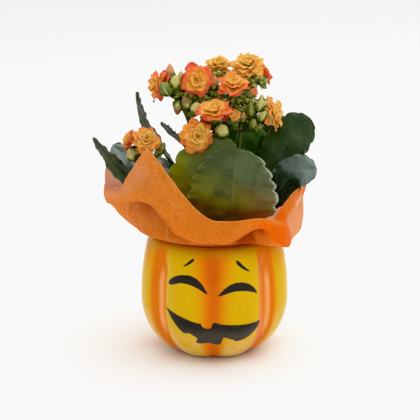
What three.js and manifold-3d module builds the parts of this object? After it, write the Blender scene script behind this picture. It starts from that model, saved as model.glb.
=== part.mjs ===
// A double-flowered kalanchoe in its nursery pot, wrapped in a non-woven sheet, in a glazed pumpkin pot.
// Millimetres, +Z up. The origin is the centre of the pot's foot, on the surface that it stands on.
// +X is to the right and -Y to the front, where the pot's painted face is.

import * as THREE from 'three';
import { mergeVertices } from 'three/addons/utils/BufferGeometryUtils.js';
import Module from 'manifold-3d';

const wasm = await Module();
wasm.setup();

// Driving dimensions
const SEED = 24;
const CLEARANCE = 0.35;

const COVER = {
  height: 72,
  footRadius: 21.5,
  bellyRadius: 44.8,
  bellyAt: 0.49,
  rimRadius: 36.2,
  lowerRoundness: 1.8,
  upperRoundness: 2.2,
  lobes: 8,
  grooveDepth: 3.6,
  wall: 4.2,
  floor: 4.5,
  mouthRadius: 33.9,
  columns: 48,
};

const NURSERY = {
  bottom: 6.2,
  top: 67,
  bottomRadius: 19.9,
  topRadius: 30.4,
  wall: 0.9,
  rimHeight: 5,
  rimStep: 0.7,
};

const SOIL = {
  top: 60,
  unevenness: 0.9,
  holeDepth: 12,
};

const WRAP = {
  thickness: 0.8,
  bottom: COVER.floor + CLEARANCE + 0.4,
  bottomRadius: 20.6,
  neckRadius: 31.5,
  neckHeight: 65,
  lipRadius: 32.9,
  lipHeight: 74,
  columnsPerStation: 3,
  flareRows: 5,
};

const LEAF = {
  ribThickness: 1.9,
  bladeThickness: 1.4,
  edgeThickness: 1.0,
  petioleHalfWidth: 1.4,
  petioleThickness: 2.4,
  toothDepth: 1.3,
};

const PETAL = { thickness: 0.6, waist: 0.58 };

const COLOURS = {
  glaze: 0xd19a12,
  plastic: 0x2b2a28,
  soil: 0x3a2a1e,
  wrap: 0xe5801f,
  leaf: 0x3c4f33,
  stalk: 0x4c6b2c,
  bloom: 0xec8b3a,
};

// The wrap's flare. At each station the sheet leaves the rim at an azimuth, in degrees from +X, and runs
// through a tuck, an outward crease and its cut border.
const WRAP_STATIONS = [
  { azimuth: -90, tuck: [0, -38, 75], crease: [0, -43.5, 78], border: [0, -47, 92] },
  { azimuth: -70, tuck: [14, -36.5, 75.5], crease: [17, -44.5, 84], border: [15, -47, 92.6] },
  { azimuth: -52, tuck: [27, -31.5, 73.6], crease: [30.5, -40, 80], border: [28.5, -43.5, 92.2] },
  { azimuth: -38, tuck: [39, -24, 70.5], crease: [42.5, -30, 71], border: [43, -32.5, 83] },
  { azimuth: -26, tuck: [41.5, -15, 71], crease: [44, -22, 74], border: [38.5, -24, 85.5] },
  { azimuth: -12, tuck: [43, -6, 74], crease: [53, -8, 82], border: [46.5, -12, 93.5] },
  { azimuth: 8, tuck: [42, 5, 75], crease: [53.6, 4, 87], border: [54, 1.5, 100.5] },
  { azimuth: 35, tuck: [33, 24, 75], crease: [42, 29, 80], border: [44, 26, 92] },
  { azimuth: 64, tuck: [17, 37, 75], crease: [21, 45, 81], border: [21, 47, 92] },
  { azimuth: 90, tuck: [0, 40, 75.5], crease: [0, 50, 84], border: [0, 50, 97] },
  { azimuth: 116, tuck: [-18, 37, 75], crease: [-25, 44, 82], border: [-24, 45, 92] },
  { azimuth: 138, tuck: [-32, 27, 75.5], crease: [-42, 33, 84], border: [-43, 32, 93] },
  { azimuth: 160, tuck: [-42, 14, 78], crease: [-57, 18, 92], border: [-61, 17, 109] },
  { azimuth: 178, tuck: [-45, 1, 78], crease: [-64, 4, 93.5], border: [-64.5, 5, 104] },
  { azimuth: 195, tuck: [-45, -14, 77.5], crease: [-61.5, -9, 90.5], border: [-57, -12, 100.5] },
  { azimuth: 210, tuck: [-40, -25, 77], crease: [-52, -25, 95.6], border: [-49.4, -24, 112] },
  { azimuth: 225, tuck: [-32, -32, 76.5], crease: [-41, -35, 99], border: [-38.6, -32, 130] },
  { azimuth: 240, tuck: [-22, -36.5, 75.5], crease: [-29, -42, 92], border: [-24.2, -39, 113.6] },
  { azimuth: 255, tuck: [-10, -38, 75], crease: [-15, -43.5, 80.5], border: [-11.2, -44.5, 99.6] },
];

// The sprays. Each is a flower stalk that stands in the soil at its foot, with its radius there and at its
// tip, and the points that its middle line runs through above the soil. Each bloom and closed bud has a
// branch, which leaves the stalk at a share of its length.
// A bloom: the middle of its head, the way it faces, its radius and how far it is open, from 0 to 1.
// A bud: its middle, the way it points, its radius and its length.
const SPRAYS = {
  spray_front: {
    foot: [1, -9],
    radius: 2,
    tip: 1.3,
    path: [[1, -9, 90], [0, -8, 118], [0, -8, 138]],
    blooms: [
      { at: [0.2, -23.5, 150.4], faces: [-0.12, -0.5, 0.86], radius: 11, open: 1, from: 1 },
      { at: [11.4, -12, 144.5], faces: [0.2, -0.7, 0.7], radius: 5.8, open: 0.15, from: 0.93 },
      { at: [-10.1, -24, 135.5], faces: [0.08, -0.97, 0.2], radius: 10.8, open: 1, from: 0.86 },
      { at: [-4.6, -3, 141.5], faces: [-0.3, -0.3, 0.9], radius: 6.6, open: 0.7, from: 0.96 },
    ],
    buds: [
      { at: [4.2, -16, 137.5], points: [0.15, -0.4, 0.9], radius: 4.2, length: 8.8, from: 0.88 },
    ],
  },
  spray_left: {
    foot: [-8, 4],
    radius: 2,
    tip: 1.3,
    path: [[-9, 4, 85], [-12, 2, 118], [-15, 0, 140], [-21, -1, 153]],
    blooms: [
      { at: [-35, 0, 161.5], faces: [-0.95, -0.22, 0.28], radius: 10.8, open: 1, from: 0.99 },
      { at: [-10.2, -9, 166.5], faces: [0, -0.92, 0.3], radius: 10.6, open: 1, from: 0.93 },
    ],
    buds: [
      { at: [-25.6, -1, 170], points: [-0.05, 0, 1], radius: 2.6, length: 10, from: 0.98 },
      { at: [-27, -7, 161.5], points: [0.25, -0.4, 0.8], radius: 3.4, length: 9.5, from: 0.97 },
      { at: [-20.4, -3, 166], points: [0.1, -0.1, 1], radius: 2.5, length: 8.5, from: 0.95 },
      { at: [-0.4, -1, 162.5], points: [0.1, -0.2, 1], radius: 2.6, length: 9.5, from: 0.9 },
      { at: [-21.4, -5, 148.6], points: [0, -0.3, -0.9], radius: 2.8, length: 9, from: 0.92 },
      { at: [-16.4, -8, 152.2], points: [0.1, -0.5, 0.8], radius: 2.7, length: 7.5, from: 0.9 },
      { at: [-14, -13, 150.5], points: [0, -0.5, 0.9], radius: 3, length: 8.5, from: 0.86 },
    ],
  },
  spray_low: {
    foot: [-14, -5],
    radius: 1.9,
    tip: 1.2,
    path: [[-16.5, -5, 75], [-26, -4, 98], [-39, -3, 117]],
    blooms: [
      { at: [-39.3, -13, 132], faces: [0.05, -0.8, 0.6], radius: 9.4, open: 1, from: 0.99 },
      { at: [-51.4, 4, 127.4], faces: [-0.8, -0.15, 0.5], radius: 7.8, open: 0.8, from: 0.94 },
    ],
    buds: [
      { at: [-31, -5, 125], points: [0.5, -0.3, 0.8], radius: 2.5, length: 7.5, from: 0.92 },
      { at: [-49, -6, 120.5], points: [-0.4, -0.3, 0.8], radius: 3, length: 8.5, from: 0.96 },
    ],
  },
  spray_right: {
    foot: [9, 3],
    radius: 2.2,
    tip: 1.4,
    path: [[9.5, 3, 85], [13, 2, 115], [16, 2, 140], [18.5, 4, 157]],
    blooms: [
      { at: [2.6, 17, 170.4], faces: [-0.1, -0.1, 1], radius: 8.2, open: 0.75, from: 0.96 },
      { at: [19.5, 8, 172.6], faces: [-0.05, -0.5, 0.85], radius: 10.6, open: 0.95, from: 1 },
      { at: [31.6, 17, 163.4], faces: [0.8, 0.5, 0.3], radius: 8.8, open: 0.9, from: 0.97 },
      { at: [11.3, -12, 163.6], faces: [0.05, -0.8, 0.6], radius: 10.4, open: 1, from: 0.92 },
      { at: [36.5, -2, 145.3], faces: [0.95, -0.15, 0.3], radius: 10.2, open: 1, from: 0.82 },
      { at: [22.8, -3, 157.2], faces: [0.4, -0.5, 0.75], radius: 4.4, open: 0, from: 0.94 },
    ],
    buds: [
      { at: [21.6, -8, 149.5], points: [0, -0.3, 1], radius: 2.5, length: 8.5, from: 0.86 },
      { at: [26, -7, 151], points: [0.2, -0.3, 1], radius: 2.8, length: 9, from: 0.85 },
      { at: [27.6, -9, 144], points: [0.5, -0.4, 0.7], radius: 2.6, length: 8, from: 0.8 },
      { at: [22.4, -11, 140.5], points: [0.1, -0.6, 0.7], radius: 2.5, length: 8, from: 0.76 },
    ],
  },
  spray_back: {
    foot: [3, 13],
    radius: 1.9,
    tip: 1.3,
    path: [[3, 15, 90], [2, 18, 120], [3, 21, 140]],
    blooms: [
      { at: [-5, 26, 159], faces: [-0.2, 0.7, 0.7], radius: 8.9, open: 1, from: 0.99 },
      { at: [17, 31, 154], faces: [0.4, 0.8, 0.5], radius: 8.9, open: 1, from: 0.95 },
      { at: [5, 36, 141], faces: [0, 0.95, 0.3], radius: 8.8, open: 1, from: 0.86 },
    ],
    buds: [],
  },
};

// Leaves: the stalk that carries it and at what height, the midrib's points from there to the tip, the way
// the upper side faces at the foot and at the tip, the half-width, the share of the midrib that is petiole,
// where the blade is widest, how slowly it narrows to its tip, the cup (edges towards the upper side), the
// wave of its edges and the teeth on each side.
const LEAVES = {
  leaf_front: {
    stalk: 'spray_front', height: 72,
    spine: [[5.5, -19, 78], [9, -28, 93], [11.5, -32.5, 111], [14.5, -30, 128]],
    faces: [[0, -1, 0.3], [0.1, -1, 0.1]],
    width: 22.5, petiole: 0.16, peak: 0.4, blunt: 0.6, cup: -0.1, wave: 1, teeth: 6,
  },
  leaf_front_left: {
    stalk: 'spray_front', height: 82,
    spine: [[-8, -17, 92], [-7, -21.5, 106], [-1, -21, 119], [7, -17.5, 131.5]],
    faces: [[-0.2, -1, 0.2], [-0.1, -1, 0.3]],
    width: 17.5, petiole: 0.2, peak: 0.42, blunt: 0.62, cup: -0.06, wave: 0.8, teeth: 5,
  },
  leaf_right: {
    stalk: 'spray_right', height: 88,
    spine: [[24, 3, 99.5], [36, 5.5, 114], [46, 7, 128.5], [57, 7.5, 139.5]],
    faces: [[-0.4, -0.8, 0.5], [-0.2, -0.95, 0.3]],
    width: 12, petiole: 0.22, peak: 0.6, blunt: 0.5, cup: 0.08, wave: 0.8, teeth: 5,
  },
  leaf_right_back: {
    stalk: 'spray_back', height: 100,
    spine: [[12, 20, 106], [23, 23, 116], [34, 25, 127], [43, 25, 136.5]],
    faces: [[-0.4, -0.8, 0.6], [-0.3, -0.8, 0.5]],
    width: 10.5, petiole: 0.2, peak: 0.55, blunt: 0.6, cup: 0.08, wave: 0.7, teeth: 4,
  },
  leaf_right_low: {
    stalk: 'spray_right', height: 74,
    spine: [[24, -3, 80], [36, -6, 94], [47, -8.5, 108.5], [60.5, -8, 111.5]],
    faces: [[-0.5, -0.6, 0.6], [0.3, -0.8, 0.6]],
    width: 9.6, petiole: 0.25, peak: 0.74, blunt: 0.5, cup: 0.1, wave: 0.8, teeth: 4,
  },
  leaf_centre: {
    stalk: 'spray_right', height: 96,
    spine: [[13, 12, 104], [16, 14, 116], [18.5, 14, 126], [19.5, 13, 137]],
    faces: [[0.1, -0.95, 0.3], [0, -0.95, 0.3]],
    width: 12, petiole: 0.2, peak: 0.5, blunt: 0.6, cup: 0.05, wave: 0.7, teeth: 4,
  },
  leaf_left: {
    stalk: 'spray_low', height: 72,
    spine: [[-27, -6, 87], [-48, -5.5, 106], [-60, -3, 117.5], [-71.7, 0, 129.5]],
    faces: [[0.2, -0.3, 1], [0.6, -0.3, 0.75]],
    width: 10.5, petiole: 0.2, peak: 0.42, blunt: 0.95, cup: 0.14, wave: 0.6, teeth: 5,
  },
  leaf_left_back: {
    stalk: 'spray_left', height: 90,
    spine: [[-26, 11, 98], [-39, 14, 105], [-51, 16, 112], [-62, 19, 120]],
    faces: [[0, -0.3, 1], [0.3, -0.6, 0.8]],
    width: 10.5, petiole: 0.2, peak: 0.55, blunt: 0.6, cup: 0.12, wave: 0.7, teeth: 4,
  },
  leaf_left_high: {
    stalk: 'spray_left', height: 103,
    spine: [[-23, 9, 109], [-31, 10, 122], [-41, 8, 138.5], [-45.6, 5, 156]],
    faces: [[0.7, 0.1, 0.7], [0.95, -0.2, 0.25]],
    width: 8, petiole: 0.2, peak: 0.5, blunt: 0.8, cup: 0.12, wave: 0.5, teeth: 4,
  },
  leaf_left_small: {
    stalk: 'spray_left', height: 119,
    spine: [[-18, 1, 122], [-23, 1, 128], [-28, 2, 133], [-31.8, 2, 138]],
    faces: [[0.5, 0.1, 0.8], [0.6, -0.1, 0.75]],
    width: 6, petiole: 0.15, peak: 0.5, blunt: 0.8, cup: 0.1, wave: 0.3, teeth: 3,
  },
  leaf_back_right: {
    stalk: 'spray_back', height: 84,
    spine: [[14, 22, 90], [25, 29, 101], [32, 36, 112], [36, 43, 120]],
    faces: [[-0.4, -0.5, 0.8], [-0.5, -0.7, 0.5]],
    width: 14.5, petiole: 0.2, peak: 0.5, blunt: 0.6, cup: 0.1, wave: 0.9, teeth: 4,
  },
  leaf_back: {
    stalk: 'spray_back', height: 78,
    spine: [[0, 25, 85], [-3, 34, 95], [-4, 41, 105], [-4, 48, 110]],
    faces: [[0, -0.6, 0.8], [0, -0.6, 0.8]],
    width: 14, petiole: 0.2, peak: 0.5, blunt: 0.6, cup: 0.1, wave: 0.9, teeth: 4,
  },
  leaf_back_left: {
    stalk: 'spray_left', height: 80,
    spine: [[-21, 16, 88], [-32, 24, 97], [-39, 30, 106], [-45, 35, 112]],
    faces: [[0.3, -0.4, 0.9], [0.5, -0.5, 0.7]],
    width: 12.5, petiole: 0.2, peak: 0.5, blunt: 0.6, cup: 0.1, wave: 0.9, teeth: 4,
  },
  leaf_back_high: {
    stalk: 'spray_back', height: 106,
    spine: [[6, 27, 112], [8, 33, 119], [9, 38, 127], [9, 41, 133]],
    faces: [[0, -0.8, 0.6], [0, -0.95, 0.3]],
    width: 9.5, petiole: 0.2, peak: 0.5, blunt: 0.6, cup: 0.1, wave: 0.6, teeth: 3,
  },
};

/** A repeatable stream of numbers from 0 to 1. */
function randomStream(seed) {
  let state = seed >>> 0;
  return () => {
    state = (state + 0x6d2b79f5) >>> 0;
    let mixed = state;
    mixed = Math.imul(mixed ^ (mixed >>> 15), mixed | 1);
    mixed ^= mixed + Math.imul(mixed ^ (mixed >>> 7), mixed | 61);
    return ((mixed ^ (mixed >>> 14)) >>> 0) / 4294967296;
  };
}

const vector = ([x, y, z]) => new THREE.Vector3(x, y, z);
const direction = (parts) => vector(parts).normalize();
const radians = THREE.MathUtils.degToRad;
const mix = THREE.MathUtils.lerp;

/** A geometry from a list of points and a list of corner triples. */
function geometryOf(points, faces) {
  const geometry = new THREE.BufferGeometry();
  const numbers = points.flatMap((point) => point.toArray());
  geometry.setAttribute('position', new THREE.Float32BufferAttribute(numbers, 3));
  geometry.setIndex(faces.flat());
  return geometry;
}

/** A solid for joining and cutting, from a closed geometry. */
function solidOf(geometry) {
  const bare = geometry.clone();
  bare.deleteAttribute('normal');
  bare.deleteAttribute('uv');
  const merged = mergeVertices(bare, 1e-4);
  return new wasm.Manifold(new wasm.Mesh({
    numProp: 3,
    vertProperties: new Float32Array(merged.getAttribute('position').array),
    triVerts: new Uint32Array(merged.index.array),
  }));
}

/** The geometry of a solid. */
function geometryOfSolid(solid) {
  const mesh = solid.getMesh();
  const geometry = new THREE.BufferGeometry();
  geometry.setAttribute('position', new THREE.Float32BufferAttribute(mesh.vertProperties, 3));
  geometry.setIndex(Array.from(mesh.triVerts));
  return geometry;
}

/** All the given closed geometries joined in one. */
function joined(geometries) {
  return geometries.map(solidOf).reduce((whole, piece) => whole.add(piece));
}

/** A closed body of rings stacked from a bottom pole to a top pole, each a list of as many points. */
function ringBody(bottom, rings, top) {
  const count = rings[0].length;
  const points = [bottom, ...rings.flat(), top];
  const last = points.length - 1;
  const faces = [];
  for (let i = 0; i < count; i += 1) {
    const next = (i + 1) % count;
    faces.push([0, 1 + next, 1 + i]);
    for (let row = 0; row + 1 < rings.length; row += 1) {
      const low = 1 + row * count;
      const high = low + count;
      faces.push([low + i, low + next, high + next], [low + i, high + next, high + i]);
    }
    const crown = last - count;
    faces.push([crown + i, crown + next, last]);
  }
  return geometryOf(points, faces);
}

/** A ring of points around the Z axis. The radius may depend on the angle. */
function ring(radius, z, columns) {
  return Array.from({ length: columns }, (_, i) => {
    const angle = (i / columns) * 2 * Math.PI;
    const r = typeof radius === 'function' ? radius(angle) : radius;
    return new THREE.Vector3(r * Math.cos(angle), r * Math.sin(angle), z);
  });
}

/** A closed plate: an open sheet of points and triangles, thickened by half to each side at every point. */
function plate(points, faces, thickness) {
  const normals = points.map(() => new THREE.Vector3());
  for (const [a, b, c] of faces) {
    const across = new THREE.Vector3().subVectors(points[b], points[a]);
    const along = new THREE.Vector3().subVectors(points[c], points[a]);
    across.cross(along);
    [a, b, c].forEach((corner) => normals[corner].add(across));
  }
  normals.forEach((normal) => normal.normalize());
  const side = (share) => points.map(
    (point, i) => point.clone().addScaledVector(normals[i], share * thickness(i)),
  );
  const count = points.length;
  const open = new Map();
  for (const [a, b, c] of faces) {
    for (const [from, to] of [[a, b], [b, c], [c, a]]) {
      if (!open.delete(`${to},${from}`)) open.set(`${from},${to}`, [from, to]);
    }
  }
  const rim = [...open.values()].flatMap(([a, b]) => [[b, a, a + count], [b, a + count, b + count]]);
  const back = faces.map(([a, b, c]) => [a + count, c + count, b + count]);
  return geometryOf([...side(0.5), ...side(-0.5)], [...faces, ...back, ...rim]);
}

/** A closed tube along a curve, from one radius to another. */
function tube(curve, startRadius, endRadius, sides, steps) {
  const frames = curve.computeFrenetFrames(steps, false);
  const rings = [];
  for (let i = 0; i <= steps; i += 1) {
    const centre = curve.getPointAt(i / steps);
    const radius = mix(startRadius, endRadius, i / steps);
    rings.push(Array.from({ length: sides }, (_, k) => {
      const angle = (k / sides) * 2 * Math.PI;
      return centre.clone()
        .addScaledVector(frames.normals[i], radius * Math.cos(angle))
        .addScaledVector(frames.binormals[i], radius * Math.sin(angle));
    }));
  }
  return ringBody(curve.getPointAt(0), rings, curve.getPointAt(1));
}

/** A closed body turned about an axis, from a foot point: rings of [distance along the axis, radius]. */
function turned(foot, axis, profile, sides, radiusOf = (radius) => radius) {
  const turn = new THREE.Quaternion().setFromUnitVectors(new THREE.Vector3(0, 0, 1), axis);
  const place = (x, y, z) => new THREE.Vector3(x, y, z).applyQuaternion(turn).add(foot);
  const rings = profile.slice(1, -1).map(([height, radius], row) => Array.from({ length: sides }, (_, k) => {
    const angle = (k / sides) * 2 * Math.PI;
    const r = radiusOf(radius, k, row);
    return place(r * Math.cos(angle), r * Math.sin(angle), height);
  }));
  const [low] = profile[0];
  const [high] = profile[profile.length - 1];
  return ringBody(place(0, 0, low), rings, place(0, 0, high));
}

// Cover pot

/** The radius of the pot's lobes at a height, from 0 at the foot to 1 at the rim. */
function coverRadius(share) {
  const { footRadius, bellyRadius, rimRadius, bellyAt, lowerRoundness, upperRoundness } = COVER;
  const lower = share < bellyAt;
  const away = lower ? (bellyAt - share) / bellyAt : (share - bellyAt) / (1 - bellyAt);
  const power = lower ? lowerRoundness : upperRoundness;
  const fullness = (1 - away ** power) ** (1 / power);
  return mix(lower ? footRadius : rimRadius, bellyRadius, fullness);
}

function coverPot() {
  const { height, lobes, grooveDepth, wall, floor, mouthRadius, columns } = COVER;
  const grooveShape = (angle) => 1 - Math.sqrt(Math.sin((angle * lobes) / 2) ** 2 + 0.02) ** 0.8;
  const outerShares = [0.035, 0.1, 0.2, 0.34, 0.5, 0.66, 0.8, 0.91, 0.97];
  const outer = outerShares.map((share) => {
    const depth = grooveDepth * Math.min(1, (1 - share) / 0.3, 0.45 + share);
    const radius = (angle) => coverRadius(share) - depth * grooveShape(angle - Math.PI / 2);
    return ring(radius, share * height, columns);
  });
  const foot = [ring(coverRadius(0), 0, columns)];
  const lip = [
    ring(COVER.rimRadius + 0.2, height - 0.8, columns),
    ring((COVER.rimRadius + mouthRadius) / 2, height, columns),
    ring(mouthRadius, height - 1, columns),
  ];
  const innerShares = [0.88, 0.5, 0.25];
  const inner = innerShares.map((share) => ring(
    Math.min(coverRadius(share) - grooveDepth - wall, share > 0.8 ? mouthRadius : Infinity),
    share * height,
    columns,
  ));
  const well = [ring(coverRadius(0.06) - grooveDepth - 1, floor, columns)];
  const centre = (z) => new THREE.Vector3(0, 0, z);
  return ringBody(centre(0), [...foot, ...outer, ...lip, ...inner, ...well], centre(floor));
}

// Nursery pot and soil

const NURSERY_COLUMNS = 20;

/** The nursery pot's outer radius at a height. */
function nurseryRadius(z) {
  const { bottom, top, bottomRadius, topRadius } = NURSERY;
  return mix(bottomRadius, topRadius - NURSERY.rimStep, (z - bottom) / (top - bottom));
}

function nurseryPot() {
  const { bottom, top, wall, rimHeight, rimStep, topRadius } = NURSERY;
  const level = (radius, z) => ring(radius, z, NURSERY_COLUMNS);
  const under = top - rimHeight;
  const rings = [
    level(nurseryRadius(bottom), bottom),
    level(nurseryRadius(under), under),
    level(topRadius, under + rimStep),
    level(topRadius, top),
    level(topRadius - wall, top),
    level(nurseryRadius(top) - wall, under),
    level(nurseryRadius(bottom) - wall, bottom + wall),
  ];
  const centre = (z) => new THREE.Vector3(0, 0, z);
  return ringBody(centre(bottom), rings, centre(bottom + wall));
}

function soilBody(random) {
  const { top, unevenness, holeDepth } = SOIL;
  const inside = (z) => nurseryRadius(z) - NURSERY.wall - CLEARANCE;
  const floor = NURSERY.bottom + NURSERY.wall + CLEARANCE;
  const uneven = (radius) => ring(radius, top, NURSERY_COLUMNS).map((point) => {
    point.z += (random() - 0.5) * 2 * unevenness;
    return point;
  });
  const rings = [
    ring(inside(floor) - 0.2, floor, NURSERY_COLUMNS),
    ring(inside(top - 1) - 0.3, top - 1, NURSERY_COLUMNS),
    uneven(inside(top) * 0.8),
    uneven(inside(top) * 0.4),
  ];
  const centre = (z) => new THREE.Vector3(0, 0, z);
  let soil = solidOf(ringBody(centre(floor), rings, centre(top + 0.4)));
  for (const stalk of Object.values(SPRAYS)) {
    const [x, y] = stalk.foot;
    const holeRadius = stalk.radius + CLEARANCE;
    const bore = new THREE.CylinderGeometry(holeRadius, holeRadius, holeDepth * 2, 8);
    bore.rotateX(Math.PI / 2);
    bore.translate(x, y, top);
    soil = soil.subtract(solidOf(bore));
  }
  return geometryOfSolid(soil);
}

// Wrap

/** A closed smooth curve through one named point of every station. */
function guide(name) {
  const points = WRAP_STATIONS.map((station) => vector(station[name]));
  return new THREE.CatmullRomCurve3(points, true, 'centripetal');
}

function wrapSheet() {
  const { thickness, bottom, bottomRadius, neckRadius, neckHeight, lipRadius, lipHeight } = WRAP;
  const columns = WRAP_STATIONS.length * WRAP.columnsPerStation;
  const guides = ['tuck', 'crease', 'border'].map(guide);
  const points = [new THREE.Vector3(0, 0, bottom)];
  const rings = Array.from({ length: 3 + WRAP.flareRows }, () => []);
  for (let column = 0; column < columns; column += 1) {
    const share = column / columns;
    const at = share * WRAP_STATIONS.length;
    const station = Math.floor(at);
    const here = WRAP_STATIONS[station].azimuth;
    const next = WRAP_STATIONS[station + 1]?.azimuth ?? WRAP_STATIONS[0].azimuth + 360;
    const azimuth = radians(mix(here, next, at - station));
    const around = (r, z) => new THREE.Vector3(r * Math.cos(azimuth), r * Math.sin(azimuth), z);
    rings[0].push(around(bottomRadius, bottom));
    rings[1].push(around(neckRadius, neckHeight));
    rings[2].push(around(lipRadius, lipHeight));
    const flare = new THREE.CatmullRomCurve3(
      [around(lipRadius, lipHeight), ...guides.map((curve) => curve.getPoint(share))], false, 'centripetal',
    );
    for (let row = 1; row <= WRAP.flareRows; row += 1) {
      rings[2 + row].push(flare.getPoint(row / WRAP.flareRows));
    }
  }
  points.push(...rings.flat());
  const faces = [];
  for (let i = 0; i < columns; i += 1) {
    const next = (i + 1) % columns;
    faces.push([0, 1 + next, 1 + i]);
    for (let row = 0; row + 1 < rings.length; row += 1) {
      const low = 1 + row * columns;
      const high = low + columns;
      faces.push([low + i, low + next, high + next], [low + i, high + next, high + i]);
    }
  }
  return plate(points, faces, () => thickness);
}

// Leaves

/** Triangles between two runs of numbered points, the left run first. Each point has its place from 0 to 1. */
function strip(left, right) {
  const faces = [];
  let i = 0;
  let j = 0;
  while (i + 1 < left.length || j + 1 < right.length) {
    const leftNext = i + 1 < left.length ? left[i + 1].place : Infinity;
    const rightNext = j + 1 < right.length ? right[j + 1].place : Infinity;
    if (leftNext <= rightNext) {
      faces.push([left[i].index, right[j].index, left[i + 1].index]);
      i += 1;
    } else {
      faces.push([left[i].index, right[j].index, right[j + 1].index]);
      j += 1;
    }
  }
  return faces.filter(([a, b, c]) => a !== b && b !== c && c !== a);
}

/** A stalk's middle line, straight up out of its hole in the soil. */
function stalkCurve(name) {
  const { foot, path } = SPRAYS[name];
  const [x, y] = foot;
  const heights = [SOIL.top - SOIL.holeDepth + CLEARANCE, SOIL.top + 2];
  const standing = heights.map((z) => new THREE.Vector3(x, y, z));
  return new THREE.CatmullRomCurve3([...standing, ...path.map(vector)], false, 'centripetal');
}

/** Where a leaf's petiole starts: beside a stalk, at a height, on the side towards the leaf. */
function petioleStart(name, height, towards) {
  const curve = stalkCurve(name);
  const { radius, tip } = SPRAYS[name];
  let low = 0;
  let high = 1;
  while (high - low > 1e-4) {
    const middle = (low + high) / 2;
    if (curve.getPointAt(middle).z < height) low = middle;
    else high = middle;
  }
  const start = curve.getPointAt(low);
  const outward = new THREE.Vector3(towards.x - start.x, towards.y - start.y, 0).normalize();
  start.addScaledVector(outward, mix(radius, tip, low) + CLEARANCE);
  const climb = Math.abs(direction(towards.clone().sub(start).toArray()).z);
  return start.addScaledVector(outward, climb * LEAF.petioleThickness * 0.5);
}

/** The blade's half-width as a share of its widest, from its foot at 0 to its tip at 1. */
function leafFullness(place, peak, blunt) {
  if (place < peak) return 1 - ((peak - place) / peak) ** 1.9;
  return (1 - ((place - peak) / (1 - peak)) ** 2.3) ** blunt;
}

function leafBody(leaf) {
  const route = leaf.spine.map(vector);
  route.unshift(petioleStart(leaf.stalk, leaf.height, route[0]));
  const spine = new THREE.CatmullRomCurve3(route, false, 'centripetal');
  const [footFace, tipFace] = leaf.faces.map(direction);
  const bladeShare = (place) => Math.max(0, (place - leaf.petiole) / (1 - leaf.petiole));
  const points = [];
  const thicknesses = [];
  const addPoint = (place, side, tooth) => {
    const share = bladeShare(place);
    const tangent = spine.getTangentAt(place);
    const face = footFace.clone().lerp(tipFace, place);
    const across = new THREE.Vector3().crossVectors(tangent, face).normalize();
    const up = across.clone().cross(tangent);
    const fullness = place > leaf.petiole ? leafFullness(share, leaf.peak, leaf.blunt) : 0;
    const half = leaf.width * fullness + LEAF.petioleHalfWidth * (1 - share) + tooth;
    const ruffle = leaf.wave * Math.sin(share * 6 * Math.PI + side) * Math.min(1, share * 3);
    const lift = side * side * (leaf.cup * leaf.width * fullness + ruffle);
    points.push(spine.getPointAt(place).addScaledVector(across, side * half).addScaledVector(up, lift));
    const slim = Math.min(1, share * 5);
    const centreThickness = side === 0 ? LEAF.ribThickness : LEAF.bladeThickness;
    const bladeThickness = Math.abs(side) === 1 ? LEAF.edgeThickness : centreThickness;
    const stemThickness = Math.abs(side) === 1 ? LEAF.edgeThickness : LEAF.petioleThickness;
    thicknesses.push(mix(stemThickness, bladeThickness, slim));
    return { index: points.length - 1, place };
  };
  const tip = addPoint(1, 0, 0);
  const petiolePlaces = [0, leaf.petiole * 0.5];
  const onBlade = (share) => mix(leaf.petiole, 1, share);
  const edgeSteps = leaf.teeth * 3 + 2;
  const edge = (side) => [
    ...petiolePlaces.map((place) => addPoint(place, side, 0)),
    ...Array.from({ length: edgeSteps }, (_, k) => addPoint(
      onBlade(1 - (1 - k / edgeSteps) ** 1.35), side, k % 3 === 0 ? 0 : LEAF.toothDepth,
    )),
    tip,
  ];
  const column = (side) => [
    ...petiolePlaces.map((place) => addPoint(place, side, 0)),
    ...[0, 0.22, 0.44, 0.66, 0.86].map((share) => addPoint(onBlade(share), side, 0)),
    tip,
  ];
  const columns = [edge(-1), column(-0.5), column(0), column(0.5), edge(1)];
  const faces = columns.slice(1).flatMap((right, k) => strip(columns[k], right));
  return plate(points, faces, (i) => thicknesses[i]);
}

// Blooms

// Petal layers from the outside in: the angle that the petals rise from the bloom's plane when open and when
// shut, and their length and the core's radius there, as shares of the bloom's radius.
const PETAL_LAYERS = [
  { rise: [10, 66], length: 0.92, core: 0.26 },
  { rise: [34, 76], length: 0.8, core: 0.21 },
  { rise: [60, 84], length: 0.6, core: 0.15 },
];
const BLOOM_CORE = { foot: 1.5, firstLayer: 0.22, layerGap: 0.3, openHeight: 0.72, shutHeight: 1 };
// Bigger blooms have more petals: the least radius of each size, its petals in a layer and its layers.
const BLOOM_SIZES = [
  { least: 9, petals: 7, layers: [0, 1, 2] },
  { least: 6, petals: 6, layers: [0, 1, 2] },
  { least: 0, petals: 5, layers: [0, 2] },
];

/** Where a bloom's foot meets its calyx. */
function bloomFoot(bloom) {
  return vector(bloom.at).addScaledVector(direction(bloom.faces), -bloom.radius * 0.55);
}

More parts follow.
